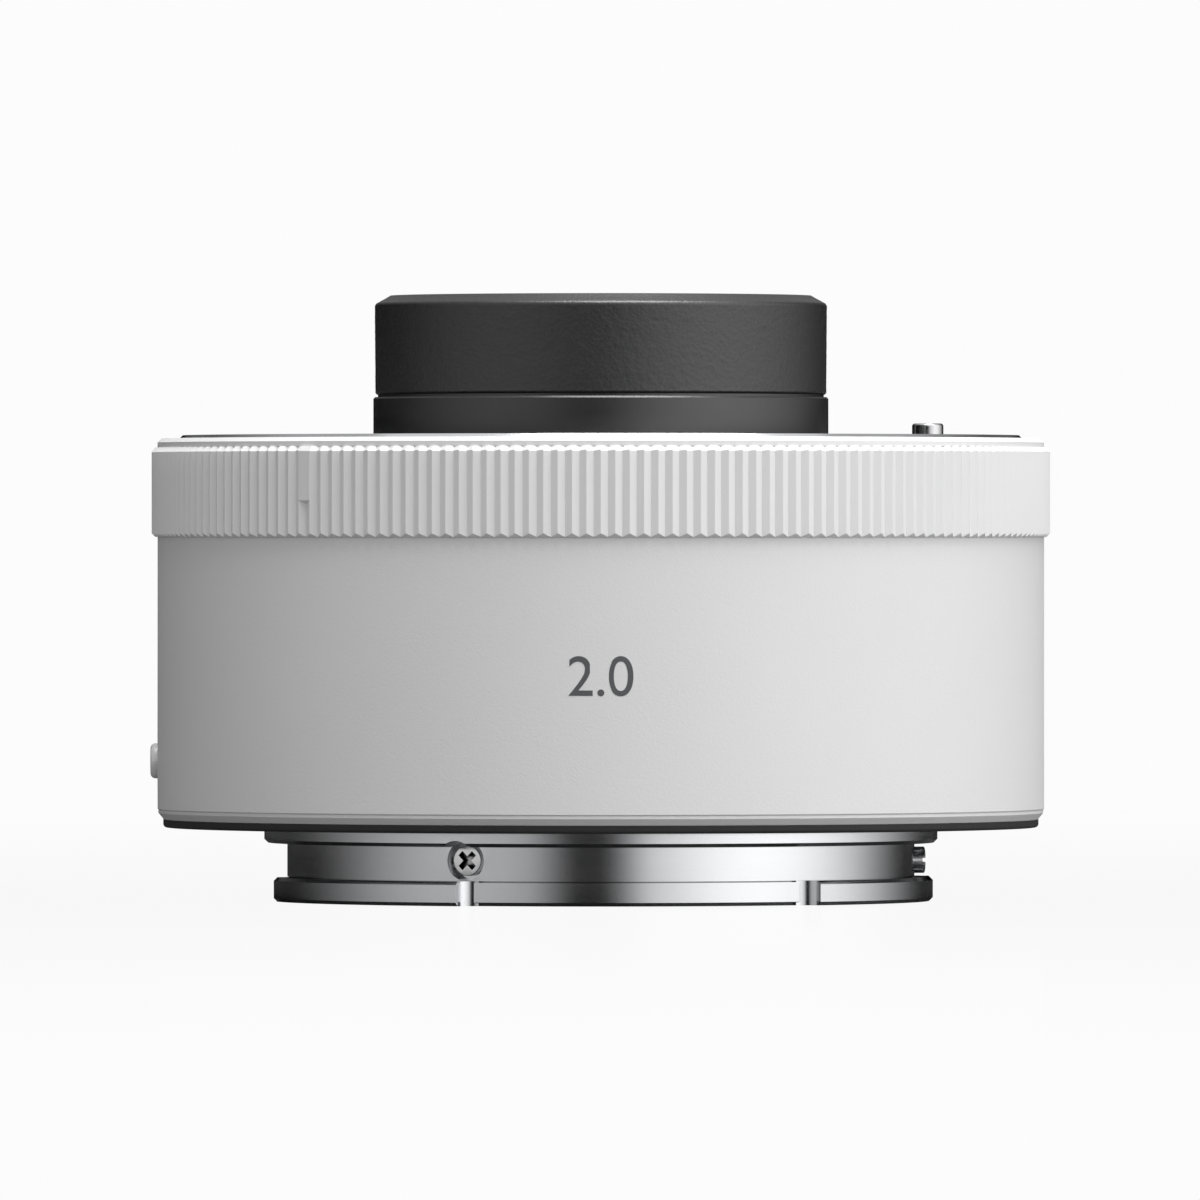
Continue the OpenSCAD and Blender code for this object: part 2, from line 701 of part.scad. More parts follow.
module front_mount() color("silver") difference() {
  union() {
    rotate_extrude() polygon([
      [plate_bore_r, plate_seat_z], [collar_foot_r - seat_gap, plate_seat_z],
      [collar_foot_r - seat_gap, plate_seat_z + foot_t], [plate_r, plate_seat_z + foot_t],
      [plate_r, plate_z - plate_chamfer], [plate_r - plate_chamfer, plate_z],
      [plate_bore_r + plate_chamfer, plate_z], [plate_bore_r, plate_z - plate_chamfer]]);
    for (i = [0 : 2]) sector(socket_claw_r, skirt_r, socket_claw_low, socket_claw_top,
      socket_az(i) - socket_claw_span / 2, socket_az(i) + socket_claw_span / 2);
  }
  around(plate_screws, plate_screw_az, plate_screw_ring)
    translate([0, 0, plate_z]) countersunk_hole(plate_t + over);
  at_az(pin_az, pin_ring) translate([0, 0, plate_seat_z - over])
    cylinder(r = pin_r + pin_fit, h = plate_t + 2 * over);
  at_az(index_az, plate_screw_ring) translate([0, 0, plate_z - dot_t])
    cylinder(r = dot_r + dot_gap, h = dot_t + over);
}

module front_mount_screws() color("silver")
  around(plate_screws, plate_screw_az, plate_screw_ring)
    translate([0, 0, plate_z - head_sink]) countersunk_screw(plate_t + thread_len);

module front_index_dot() color("white")
  at_az(index_az, plate_screw_ring) translate([0, 0, plate_z - dot_t]) cylinder(r = dot_r, h = dot_t);

// Three bowed leaves under the socket claws, which pull the lens back on its seat
module bayonet_springs() color("lightgray") {
  leaf_t = 0.2;
  bow = 0.35;
  end_az = 6;
  edge_gap = 0.15;
  leaf_half = socket_claw_span / 2 - end_az;
  steps = 16;
  r_in = socket_claw_r + edge_gap;
  r_out = plate_bore_r - edge_gap;
  leaf_points = [for (j = [0 : steps])
    let(t = 2 * j / steps - 1, a = leaf_half * t, z = socket_claw_low - bow * pow(cos(90 * t), 2))
    each [for (c = [[r_in, z - leaf_t], [r_out, z - leaf_t], [r_out, z], [r_in, z]])
      [c[0] * sin(a), -c[0] * cos(a), c[1]]]];
  leaf_sides = [for (j = [0 : steps - 1], k = [0 : 3]) each
    let(a = 4 * j + k, b = 4 * j + (k + 1) % 4) [[a, a + 4, b + 4], [a, b + 4, b]]];
  last = 4 * steps;
  leaf_ends = [[0, 1, 2], [0, 2, 3], [last, last + 2, last + 1], [last, last + 3, last + 2]];
  for (i = [0 : 2]) rotate([0, 0, socket_az(i)])
    polyhedron(leaf_points, concat(leaf_sides, leaf_ends));
}

module chassis() color("slategray") difference() {
  union() {
    rotate_extrude() polygon([
      [flange_r + foot_w + seat_gap, seam_z], [chassis_r, seam_z], [chassis_r, plate_seat_z],
      [ledge_r, plate_seat_z], [ledge_r, ledge_z], [chassis_in_r, ledge_z],
      [chassis_in_r, web_top], [barrel_r + seat_gap, web_top], [barrel_r + seat_gap, web_z],
      [chassis_in_r, web_z], [chassis_in_r, board_z], [rear_ledge_r, board_z],
      [rear_ledge_r, rear_seat_z], [flange_r + foot_w + seat_gap, rear_seat_z]]);
    at_az(pin_az, pin_ring) translate([0, 0, web_z + web_t / 2])
      cylinder(r = boss_r, h = plate_seat_z - boss_drop - web_z - web_t / 2);
  }
  around(plate_screws, plate_screw_az, plate_screw_ring)
    translate([0, 0, plate_seat_z]) tapped_hole(screw_r, thread_len + thread_room);
  around(rear_screws, rear_screw_az, rear_screw_ring)
    translate([0, 0, rear_seat_z]) mirror([0, 0, 1]) tapped_hole(screw_r, rear_ledge_t - hole_floor);
  around(3, board_screw_az, rear_screw_ring)
    translate([0, 0, board_z]) tapped_hole(small_screw_r, rear_ledge_t - hole_floor);
  around(3, barrel_screw_az, barrel_screw_ring)
    translate([0, 0, web_z]) mirror([0, 0, 1]) tapped_hole(screw_r, web_t - hole_floor);
  around(3, baffle_screw_az, baffle_screw_ring)
    translate([0, 0, web_top]) tapped_hole(small_screw_r, web_t - hole_floor);
  at_az(pin_az, pin_ring) {
    translate([0, 0, pin_spring_z]) cylinder(r = spring_bore_r, h = plate_seat_z - pin_spring_z + over);
    translate([0, 0, web_z - over]) cylinder(r = pin_r + pin_fit, h = pin_spring_z - web_z + 2 * over);
  }
  sector(pocket_r, chassis_r + over, pocket_z, pocket_top,
    pin_az + pocket_low_az, pin_az + pocket_high_az);
  radial(pin_az, chassis_in_r - over, peg_z)
    slanted_slot(slot_r, [0, 0], [0, -pin_travel], pocket_r - chassis_in_r + 2 * over);
  sector(flex_r - flex_room, flex_r + flex_t + flex_room, web_z - over, web_top + over,
    contact_az - flex_half - flex_room_az, contact_az + flex_half + flex_room_az);
}

module front_baffle() color("#202020") difference() {
  out_r = ledge_r - baffle_edge_gap;
  union() {
    ring(nose_r + baffle_gap, out_r, floor_top - floor_t, floor_top);
    ring(out_r - baffle_wall, out_r, web_top, floor_top - floor_t / 2);
    around(3, baffle_screw_az, baffle_screw_ring)
      translate([0, 0, web_top]) cylinder(r = baffle_post_r, h = floor_rise + floor_t / 2);
  }
  sector(nose_r - over, block_out_r + 2 * seat_gap, floor_top - floor_t - over, floor_top + over,
    contact_az - block_half - block_slot_az, contact_az + block_half + block_slot_az);
  at_az(pin_az, pin_ring) translate([0, 0, web_top - over])
    cylinder(r = boss_r + boss_gap, h = floor_rise + floor_t + 2 * over);
  around(3, baffle_screw_az, baffle_screw_ring)
    translate([0, 0, floor_top]) tapped_hole(small_screw_r, floor_rise + floor_t + over);
}

module front_baffle_screws() color("dimgray")
  around(3, baffle_screw_az, baffle_screw_ring)
    translate([0, 0, floor_top]) cheese_screw(small_screw_r, small_cheese_r,
      floor_rise + floor_t + web_t - hole_floor - thread_room);

module contact_block() color("#181818") difference() {
  union() {
    sector(block_in_r, block_out_r, block_z, block_top, contact_az - block_half, contact_az + block_half);
    sector(block_in_r + block_foot_set, block_out_r + block_foot_w, block_z,
      floor_top - floor_t - seat_gap, contact_az - block_foot_half, contact_az + block_foot_half);
  }
  at_contacts(contact_az) {
    translate([0, 0, spring_cup_z])
      cylinder(r = contact_bore_r, h = block_top - block_lip - spring_cup_z);
    translate([0, 0, spring_cup_z]) cylinder(r = contact_r + pin_fit, h = block_top - spring_cup_z + over);
  }
}

// Copies a piece to each contact's place
module at_contacts(az) {
  for (i = [0 : contacts - 1]) at_az(az - contact_half + i * contact_pitch, contact_ring) children();
}

module contact_springs() color("gold") at_contacts(contact_az) {
  wire = 0.08;
  turns = 3;
  translate([0, 0, spring_cup_z]) coil(contact_r, wire, contact_flange_z - spring_cup_z, turns);
}

module contact_pins() color("gold") at_contacts(contact_az) rotate_extrude() {
  translate([0, contact_flange_z]) square([contact_flange_r, contact_flange_t]);
  translate([0, contact_flange_z]) square([contact_r, contact_tip_z - contact_r - contact_flange_z]);
  translate([0, contact_tip_z - contact_r]) intersection() {
    circle(r = contact_r);
    square(contact_r);
  }
}

// The rear half of the barrel, with the flange that screws to the web
module lens_barrel() color("#1c1c1c") difference() {
  thread_r = rear_r + retainer_step + glass_gap;
  spigot_out_r = barrel_joint_r - seat_gap;
  rotate_extrude() polygon([
    [thread_r, barrel_end], [barrel_r, barrel_end], [barrel_r, web_z - barrel_flange_t],
    [barrel_flange_r, web_z - barrel_flange_t], [barrel_flange_r, web_z], [barrel_r, web_z],
    [barrel_r, web_top], [spigot_out_r, web_top], [spigot_out_r, triplet_seat_z],
    [triplet_r + glass_gap, triplet_seat_z], [triplet_r + glass_gap, field_seat_z],
    [field_r + glass_gap, field_seat_z], [field_r + glass_gap, rear_glass_seat_z],
    [rear_r + glass_gap, rear_glass_seat_z], [rear_r + glass_gap, rear_retainer_z + retainer_relief],
    [thread_r, rear_retainer_z + retainer_relief]]);
  around(3, barrel_screw_az, barrel_screw_ring)
    translate([0, 0, web_z]) tapped_hole(screw_r, barrel_flange_t + over);
}

// The front half of the barrel, whose skirt sits round the rear half's spigot
module front_barrel() color("#1c1c1c") {
  thread_r = single_r + retainer_step + glass_gap;
  edge = 0.12;
  rotate_extrude() polygon([
    [stop_r, triplet_seat_z], [barrel_joint_r, triplet_seat_z], [barrel_joint_r, web_top],
    [nose_r, web_top], [nose_r, shoulder_z - edge],
    [nose_r - edge, shoulder_z], [nose_r - neck_set, shoulder_z], [nose_r - neck_set, cap_z],
    [spigot_r, cap_z], [spigot_r, barrel_top],
    [thread_r, barrel_top], [thread_r, front_retainer_z - retainer_relief],
    [single_r + glass_gap, front_retainer_z - retainer_relief],
    [single_r + glass_gap, single_seat_z],
    [doublet_r + glass_gap, single_seat_z], [doublet_r + glass_gap, doublet_seat_z],
    [stop_r, doublet_seat_z]]);
}

module nose_cap() color("#262626") {
  draft = 0.04;
  rotate_extrude() polygon([
    [cap_r - cap_wall, cap_z], [cap_r - draft, cap_z], [cap_r, cap_top - cap_bevel_h],
    [cap_r - cap_bevel_w, cap_top], [cap_opening_r + cap_lip, cap_top],
    [cap_opening_r, cap_top - cap_lip], [cap_r - cap_wall, cap_top - cap_lip]]);
}

module barrel_screws() color("dimgray")
  around(3, barrel_screw_az, barrel_screw_ring) translate([0, 0, web_z - barrel_flange_t])
    mirror([0, 0, 1]) cheese_screw(screw_r, cheese_r,
      barrel_flange_t + web_t - hole_floor - thread_room);

module front_retainer() color("#1a1a1a") {
  out_r = single_r + retainer_step;
  difference() {
    ring(single_r - spacer_wall, out_r, front_retainer_z, front_retainer_z + retainer_h);
    spanner_slots(out_r, front_retainer_z + retainer_h);
  }
}

// Two slots for a ring spanner across the face at height z
module spanner_slots(r, z) {
  slot_w = 0.9;
  slot_depth = 1;
  translate([0, 0, z]) cube([2 * r + over, slot_w, slot_depth], center = true);
}

module front_spacer() color("#1a1a1a")
  ring(doublet_r - spacer_wall, doublet_r, glass_at(2, doublet_r - spacer_wall) + glass_gap,
    glass_at(1, doublet_r - spacer_wall) - glass_gap);

module middle_spacer() color("#1a1a1a")
  ring(triplet_r - spacer_wall, triplet_r, glass_at(9, triplet_r) + glass_gap,
    rim_at(8, triplet_r) - glass_gap);

module rear_spacer() color("#1a1a1a")
  ring(field_r - spacer_wall, field_r, glass_at(11, field_r) + glass_gap,
    glass_at(10, field_r - spacer_wall) - glass_gap);

module rear_retainer() color("#1a1a1a") {
  out_r = rear_r + retainer_step;
  low = rear_retainer_z - retainer_h;
  difference() {
    ring(rear_r - spacer_wall, out_r, low, rear_retainer_z);
    spanner_slots(out_r, low);
  }
}

// One glass element between surfaces i and j, with radius r
module element(i, j, r) {
  high = glass_radii[i] < 0 ? rim_at(i, r) : glass_z[i];
  low = glass_radii[j] > 0 ? rim_at(j, r) : glass_z[j];
  color("lightblue", 0.5) rotate_extrude($fn = glass_fn) difference() {
    translate([0, low]) square([r, high - low]);
    glass_cut(i, r, high + over, glass_radii[i] < 0, 0);
    glass_cut(j, r, low - over, glass_radii[j] > 0, j == i + 1 && cemented(j) ? glass_gap : 0);
  }
}

// What surface i cuts away on the side of the height far: the ball itself, or all but the ball
module glass_cut(i, r, far, ball, shift) {
  radius = abs(glass_radii[i]);
  middle = glass_z[i] - glass_radii[i] + shift;
  near = glass_at(i, r) + (far > glass_z[i] ? -1 : 1) * over;
  if (ball) {
    translate([0, middle]) circle(r = radius, $fn = glass_fn);
  } else difference() {
    translate([0, min(near, far)]) square([r + over, abs(far - near)]);
    translate([0, middle]) circle(r = radius, $fn = glass_fn);
  }
}

module element_1() element(0, 1, single_r);
module element_2() element(2, 3, doublet_r);
module element_3() element(3, 4, doublet_r);
module element_4() element(5, 6, triplet_r);
module element_5() element(6, 7, triplet_r);
module element_6() element(7, 8, triplet_r);
module element_7() element(9, 10, field_r);
module element_8() element(11, 12, rear_r);

module circuit_board() color("darkgreen") difference() {
  ring(board_in_r, chassis_in_r - board_edge_gap, board_z, board_top);
  around(3, board_screw_az, rear_screw_ring)
    translate([0, 0, board_top]) tapped_hole(small_screw_r, board_t + over);
}

// Chips and plugs that stand on the circuit board, each with its azimuth, width, length and height
module board_components() color("#202020")
  for (c = [[-60, 6, 5, 1.1], [-20, 4, 4, 0.9], [110, 5, 3.5, 1], [150, 3, 3, 0.8], [205, 6, 4, 1.2],
    [250, 3, 2, 0.7]]) at_az(c[0], (board_in_r + rear_ledge_r) / 2)
    translate([-c[1] / 2, -c[2] / 2, board_top]) cube([c[1], c[2], c[3]]);

module board_screws() color("silver")
  around(3, board_screw_az, rear_screw_ring)
    translate([0, 0, board_top]) cheese_screw(small_screw_r, small_cheese_r,
      board_t + rear_ledge_t - hole_floor - thread_room);

module front_flex() color("peru") {
  arc(contact_az - flex_half, contact_az + flex_half) {
    translate([flex_r, board_top]) square([flex_t, web_top + flex_t - board_top]);
    translate([flex_r, board_top]) square([rear_ledge_r - flex_r, flex_t]);
    translate([contact_ring, web_top]) square([flex_r + flex_t - contact_ring, flex_t]);
  }
  sector(block_in_r, block_out_r, web_top, web_top + flex_t,
    contact_az - contact_half - flex_tab_az, contact_az + contact_half + flex_tab_az);
}

module rear_flex() color("peru") {
  r = barrel_r + rear_flex_gap;
  low = baffle_face_z + baffle_plate_t;
  arc(rear_contact_az - contact_half - flex_tab_az, rear_contact_az + contact_half + flex_tab_az) {
    translate([r, low]) square([contact_ring + pad_len / 2 - rear_flex_gap - r, flex_t]);
    translate([r, low]) square([flex_t, board_top + flex_t - low]);
    translate([r, board_top]) square([board_in_r + rear_flex_tab - r, flex_t]);
  }
}

// The second of the three screws through the bayonet tube is the stop screw
function is_stop(i) = i == 1;

module at_tube_screw(i, r)
  radial(tube_screw_az + 120 * i, r, is_stop(i) ? -stop_z : -tube_screw_z) children();

module rear_mount() color("silver") difference() {
  union() {
    rotate_extrude() polygon([
      [tube_in_r, -claw_bottom], [band_r - claw_chamfer, -claw_bottom],
      [band_r, claw_chamfer - claw_bottom], [band_r, -claw_top - band_groove],
      [band_r - band_groove_depth, -claw_top - band_groove], [band_r - band_groove_depth, -claw_top],
      [tube_r, -claw_top],
      [tube_r, -pilot_h], [pilot_r - pilot_chamfer, -pilot_h], [pilot_r, pilot_chamfer - pilot_h],
      [pilot_r, 0], [flange_r, 0], [flange_r, seam_z], [hub_r, seam_z], [hub_r, rear_seat_z],
      [tube_in_r, rear_seat_z]]);
    for (i = [0 : 2]) rotate([0, 0, claw_az + 120 * i]) rear_claw();
  }
  around(rear_screws, rear_screw_az, rear_screw_ring)
    mirror([0, 0, 1]) countersunk_hole(rear_seat_z + over);
  at_az(lock_hole_az, pin_ring) translate([0, 0, -over])
    cylinder(r = pin_r + mount_play, h = rear_seat_z + 2 * over);
  for (i = [0 : 2]) {
    at_tube_screw(i, tube_bore_floor)
      cylinder(r = is_stop(i) ? stop_head_r + seat_gap : tube_bore_r, h = pilot_r);
    at_tube_screw(i, tube_in_r - over) cylinder(r = screw_r, h = tube_wall + over);
  }
}

// One claw with a hollow at each end, centred on azimuth 0
module rear_claw() {
  sink = 0.05;
  end = claw_span / 2 + asin(claw_fillet / claw_r);
  difference() {
    arc(-end, end) polygon([
      [tube_in_r + tube_wall / 2, -claw_bottom], [claw_r - claw_chamfer, -claw_bottom],
      [claw_r, claw_chamfer - claw_bottom], [claw_r, -claw_top - claw_chamfer],
      [claw_r - claw_chamfer, -claw_top], [tube_in_r + tube_wall / 2, -claw_top]]);
    for (a = [-end, end]) at_az(a, band_r + claw_fillet - sink) translate([0, 0, -claw_bottom - over])
      cylinder(r = claw_fillet, h = claw_t + 2 * over);
  }
}

module rear_mount_screws() color("silver")
  around(rear_screws, rear_screw_az, rear_screw_ring)
    translate([0, 0, head_sink]) mirror([0, 0, 1]) countersunk_screw(
      rear_seat_z + rear_ledge_t - hole_floor - thread_room);

module rear_baffle() color("#202020") {
  out_r = tube_in_r - seat_gap;
  wall_in_r = barrel_r + baffle_wall_gap;
  plate_top = baffle_face_z + baffle_plate_t;
  top = rear_seat_z - baffle_top_set;
  slot_half = contact_half + baffle_slot_az;
  thin_r = contact_ring + pad_len / 2 + run_gap;
  difference() {
    union() {
      rotate_extrude() polygon([
        [baffle_in_r, baffle_face_z + baffle_bevel], [baffle_in_r + baffle_bevel, baffle_face_z],
        [out_r, baffle_face_z], [out_r, top], [thin_r, top], [thin_r, plate_top],
        [baffle_in_r, plate_top]]);
      sector(wall_in_r, thin_r + lap, plate_top - lap, top - lap,
        rear_contact_az + slot_half, rear_contact_az + 360 - slot_half);
    }
    at_contacts(rear_contact_az)
      translate([-pad_w / 2 - seat_gap, -pad_len / 2 - seat_gap, baffle_face_z - over])
      cube([pad_w + 2 * seat_gap, pad_len + 2 * seat_gap, baffle_plate_t + 2 * over]);
    for (i = [0 : 2]) at_tube_screw(i, tube_bore_floor - tube_shank - thread_room)
      cylinder(r = small_screw_r + screw_gap, h = tube_shank + over);
  }
}

module rear_contacts() color("gold") at_contacts(rear_contact_az)
  translate([-pad_w / 2, -pad_len / 2, -contact_depth])
  cube([pad_w, pad_len, baffle_face_z + baffle_plate_t + contact_depth]);

module bayonet_screws() color("silver") for (i = [0 : 2]) {
  head_h = tube_bore_depth + (is_stop(i) ? stop_proud : -tube_head_sink);
  at_tube_screw(i, tube_bore_floor) difference() {
    union() {
      cylinder(r = is_stop(i) ? stop_head_r : tube_head_r, h = head_h);
      translate([0, 0, -tube_shank]) cylinder(r = small_screw_r, h = tube_shank + lap);
    }
    translate([0, 0, head_h]) if (is_stop(i))
      cube([2 * stop_head_r + over, stop_slot_w, 2 * stop_slot_depth], center = true);
    else cross_recess();
  }
}

module lock_pin() color("silver") {
  round = 0.2;
  tail = 1.2;
  low = peg_z - tail;
  top = plate_z + pin_proud;
  difference() {
    at_az(pin_az, pin_ring) rotate_extrude() union() {
      translate([0, low]) square([pin_r, top - round - low]);
      translate([0, low]) square([pin_r - round, top - low]);
      translate([pin_r - round, top - round]) intersection() {
        circle(r = round);
        square(round);
      }
      translate([0, pin_spring_top]) square([pin_r + pin_collar_w, pin_collar_t]);
    }
    radial(pin_az, pin_ring - pin_r - over, peg_z) cylinder(r = peg_r, h = 2 * pin_r + 2 * over);
  }
}

module lock_peg() color("gray")
  radial(pin_az, pin_ring - pin_r + peg_tail, peg_z)
    cylinder(r = peg_r, h = peg_end_r - pin_ring + pin_r - peg_tail);

module lock_pin_spring() color("lightgray") {
  wire = 0.15;
  turns = 5;
  at_az(pin_az, pin_ring) translate([0, 0, pin_spring_z])
    coil(pin_r + pin_collar_w / 2, wire, pin_spring_len, turns);
}

// The curved plate that slides in the chassis, with a neck and a ribbed finger pad
module release_lever() color("whitesmoke") {
  pad_set = 0.3;
  pad_h = lever_pocket_h - 2 * pad_set;
  pad_gap = 0.2;
  pad_in_r = shell_r + pad_gap;
  pad_out_r = shell_r + lever_proud;
  ribs = 5;
  rib_r = 0.22;
  rib_step = 2 * pad_az / (ribs + 1);
  run = lever_mid_r * sin(lever_turn);
  difference() {
    union() {
      sector(lever_in_r, lever_out_r, pocket_z + run_gap, pocket_top - run_gap,
        pin_az + lever_low_az, pin_az + lever_high_az);
      sector(lever_out_r - lever_t / 2, pad_in_r + lever_t / 2, lever_z - neck_h / 2,
        lever_z + neck_h / 2, pin_az - neck_az, pin_az + neck_az);
      sector(pad_in_r, pad_out_r, lever_z - pad_h / 2, lever_z + pad_h / 2,
        pin_az - pad_az, pin_az + pad_az);
    }
    radial(pin_az, lever_in_r - over, peg_z)
      slanted_slot(slot_r, [0, 0], [-run, -pin_travel], lever_t + over);
    for (i = [1 : ribs]) at_az(pin_az - pad_az + i * rib_step, pad_out_r)
      translate([0, 0, lever_z - pad_h / 2 - over]) cylinder(r = rib_r, h = pad_h + 2 * over);
  }
}

module lever_spring() color("lightgray") {
  wire = 0.09;
  coil_r = 0.3;
  turns = 6;
  start = pin_az + lever_high_az;
  rotate([0, 0, start + spring_az / 2]) translate([-lever_spring_len / 2, -lever_mid_r, lever_z])
    rotate([0, 90, 0]) coil(coil_r, wire, lever_spring_len, turns);
}

main_shell();
grip_ring();
front_collar();
rear_ring();
rear_seal();
rear_index_bump();
front_mount();
front_mount_screws();
front_index_dot();
bayonet_springs();
chassis();
front_baffle();
front_baffle_screws();
contact_block();
contact_springs();
lens_barrel();
front_barrel();
nose_cap();
barrel_screws();
front_retainer();
front_spacer();
middle_spacer();
rear_spacer();
rear_retainer();
element_1();
element_2();
element_3();
element_4();
element_5();
element_6();
element_7();
element_8();
circuit_board();
board_components();
board_screws();
front_flex();
rear_flex();
rear_mount();
rear_mount_screws();
rear_baffle();
rear_contacts();
bayonet_screws();
lock_pin();
lock_peg();
lock_pin_spring();
release_lever();
lever_spring();
contact_pins();
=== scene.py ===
"""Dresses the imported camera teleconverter: turned, knurled and wound pieces, finishes and a light tent."""
import json
import math

import bmesh
import bpy
from mathutils import Matrix, Vector


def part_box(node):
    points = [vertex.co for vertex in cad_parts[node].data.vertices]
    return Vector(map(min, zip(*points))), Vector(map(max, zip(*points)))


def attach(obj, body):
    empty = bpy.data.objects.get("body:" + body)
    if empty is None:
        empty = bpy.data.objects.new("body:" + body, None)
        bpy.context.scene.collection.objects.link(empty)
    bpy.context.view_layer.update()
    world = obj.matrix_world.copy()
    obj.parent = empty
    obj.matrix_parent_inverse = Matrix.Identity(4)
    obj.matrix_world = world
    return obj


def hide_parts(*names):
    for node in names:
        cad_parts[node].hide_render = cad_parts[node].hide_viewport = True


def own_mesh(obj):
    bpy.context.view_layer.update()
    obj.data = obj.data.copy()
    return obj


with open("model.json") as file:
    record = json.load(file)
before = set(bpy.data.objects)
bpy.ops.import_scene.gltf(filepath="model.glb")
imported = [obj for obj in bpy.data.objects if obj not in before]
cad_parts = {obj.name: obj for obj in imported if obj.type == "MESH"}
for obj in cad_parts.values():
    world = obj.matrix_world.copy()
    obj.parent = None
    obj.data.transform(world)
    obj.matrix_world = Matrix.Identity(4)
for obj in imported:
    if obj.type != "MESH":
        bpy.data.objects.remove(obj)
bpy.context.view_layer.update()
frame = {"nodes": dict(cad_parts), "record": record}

bl_info = {
    "name": "Camera teleconverter",
    "version": (1, 0, 0),
    "blender": (4, 5, 0),
    "location": "View3D > Sidebar > Teleconverter",
    "description": "Builds the looks of a twice teleconverter around its packed parts",
    "category": "Object",
}

MM = 0.001
# Vertices nearer to each other than this are one
WELD = 0.002 * MM

# Places that the part's source gives, as azimuths from -Y towards +X in degrees
INDEX_AZ = -40.5
PIN_AZ = 119.0
CONTACT_AZ = 50.0
CONTACT_PITCH = 6.0
CONTACTS = 10
TUBE_SCREW_AZ = -25.2


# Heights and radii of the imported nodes, which the new pieces keep to
GRIP_LOW, GRIP_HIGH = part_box("grip_ring")
CAP_LOW, CAP_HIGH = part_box("nose_cap")
SEAL_LOW, SEAL_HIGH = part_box("rear_seal")
SHELL_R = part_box("main_shell")[1].x
FOOT_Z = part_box("rear_mount")[0].z
PIN_SPRING_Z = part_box("lock_pin_spring")[0].z
CONTACT_SPRING_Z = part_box("contact_springs")[0].z
LEVER_SPRING_LOW, LEVER_SPRING_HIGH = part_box("lever_spring")

# The studio, in metres
FLOOR_SIZE = 8.0
TENT_R = 0.6
TENT_H = 1.0
LAMP_SIZE = 0.5
LAMP_AWAY = 0.8
SENSOR_MM = 36.0


# Sizes and colours that a user would change

def length(title, text, default):
    """A length in metres with its name and description."""
    return bpy.props.FloatProperty(name=title, description=text, default=default, unit="LENGTH",
                                   precision=6, min=0.0)


def tint(title, text, code):
    """A colour written as an sRGB hex value."""
    return bpy.props.StringProperty(name=title, description=text, default=code)


def amount(title, text, default):
    """A plain number, such as a radiance."""
    return bpy.props.FloatProperty(name=title, description=text, default=default)


def bearing(title, text, degrees):
    """An angle that is written in degrees."""
    return bpy.props.FloatProperty(name=title, description=text, default=math.radians(degrees), subtype="ANGLE")


class GripSizes(bpy.types.PropertyGroup):
    """Sizes of the knurled grip ring"""
    teeth: bpy.props.IntProperty(name="Teeth", description="Teeth round the grip ring", default=200, min=60)
    crest: length("Crest radius", "Radius over the teeth", 31.2 * MM)
    depth: length("Groove depth", "Depth of the grooves between the teeth", 0.27 * MM)
    inner: length("Inner radius", "Radius of the bore that sits on the shell", 30.29 * MM)
    low_w: length("Lower chamfer width", "Width of the chamfer at the lower end of the teeth", 0.32 * MM)
    low_h: length("Lower chamfer height", "Height of the chamfer at the lower end of the teeth", 0.26 * MM)
    top_w: length("Upper bevel width", "Width of the bevel along each flank at the upper end", 0.23 * MM)
    top_h: length("Upper bevel height", "Height of the bevel along each flank at the upper end", 0.33 * MM)
    blunt: length("Blunted crest", "Rounding along the crest of each tooth", 0.05 * MM)
    index_length: length("Index length", "Length of the filled groove, down from the top", 3.7 * MM)


class CapSizes(bpy.types.PropertyGroup):
    """Sizes of the grained nose cap"""
    radius: length("Radius", "Outer radius of the cap", 15.71 * MM)
    wall: length("Wall", "Wall of the cap", 1.05 * MM)
    draft: length("Draft", "How much narrower the cap is at its foot", 0.04 * MM)
    bevel_w: length("Bevel width", "Width of the bevel at the top", 1.1 * MM)
    bevel_h: length("Bevel height", "Height of the bevel at the top", 0.6 * MM)
    lip: length("Lip", "Thickness of the lip round the front opening", 0.85 * MM)
    opening: length("Opening", "Radius of the front opening", 12.3 * MM)
    grain: length("Grain", "Width of one cell of the leather grain", 0.4 * MM)
    grain_depth: length("Grain depth", "Depth of the grain's creases", 0.03 * MM)


class ScrewSizes(bpy.types.PropertyGroup):
    """Sizes of the two sunk screws and the stop screw in the bayonet tube"""
    head: length("Head radius", "Radius of the sunk heads", 1.04 * MM)
    rise: length("Head height", "Height of the sunk heads from the bottom of their counterbores", 0.51 * MM)
    depth: length("Depth", "Depth of the sunk screws under the flange", 2.15 * MM)
    slot: length("Recess width", "Width of one arm of the cross recess", 0.46 * MM)
    span: length("Recess span", "Span of the cross recess", 1.56 * MM)
    sink: length("Recess depth", "Depth of the cross recess", 0.45 * MM)
    stop_head: length("Stop radius", "Radius of the stop screw's head", 0.92 * MM)
    stop_rise: length("Stop height", "Height of the stop screw's head from the bottom of its bore", 1.61 * MM)
    stop_depth: length("Stop depth", "Depth of the stop screw under the flange", 2.45 * MM)
    stop_slot: length("Slot width", "Width of the stop screw's slot", 0.28 * MM)
    stop_sink: length("Slot depth", "Depth of the stop screw's slot", 0.22 * MM)
    shank: length("Shank radius", "Radius of the shanks", 0.5 * MM)
    reach: length("Shank length", "Length of the shanks", 2.9 * MM)
    seat: length("Seat radius", "Distance of the bores' floors from the axis", 20.97 * MM)


class MarkSizes(bpy.types.PropertyGroup):
    """The plain number on the front of the shell"""
    text: bpy.props.StringProperty(name="Number", description="The number that is printed", default="2.0")
    height: length("Letter size", "Size of the type", 3.9 * MM)
    level: length("Level", "Height of the number's middle", 10.4 * MM)
    film: length("Ink film", "Thickness of the printed ink", 0.012 * MM)


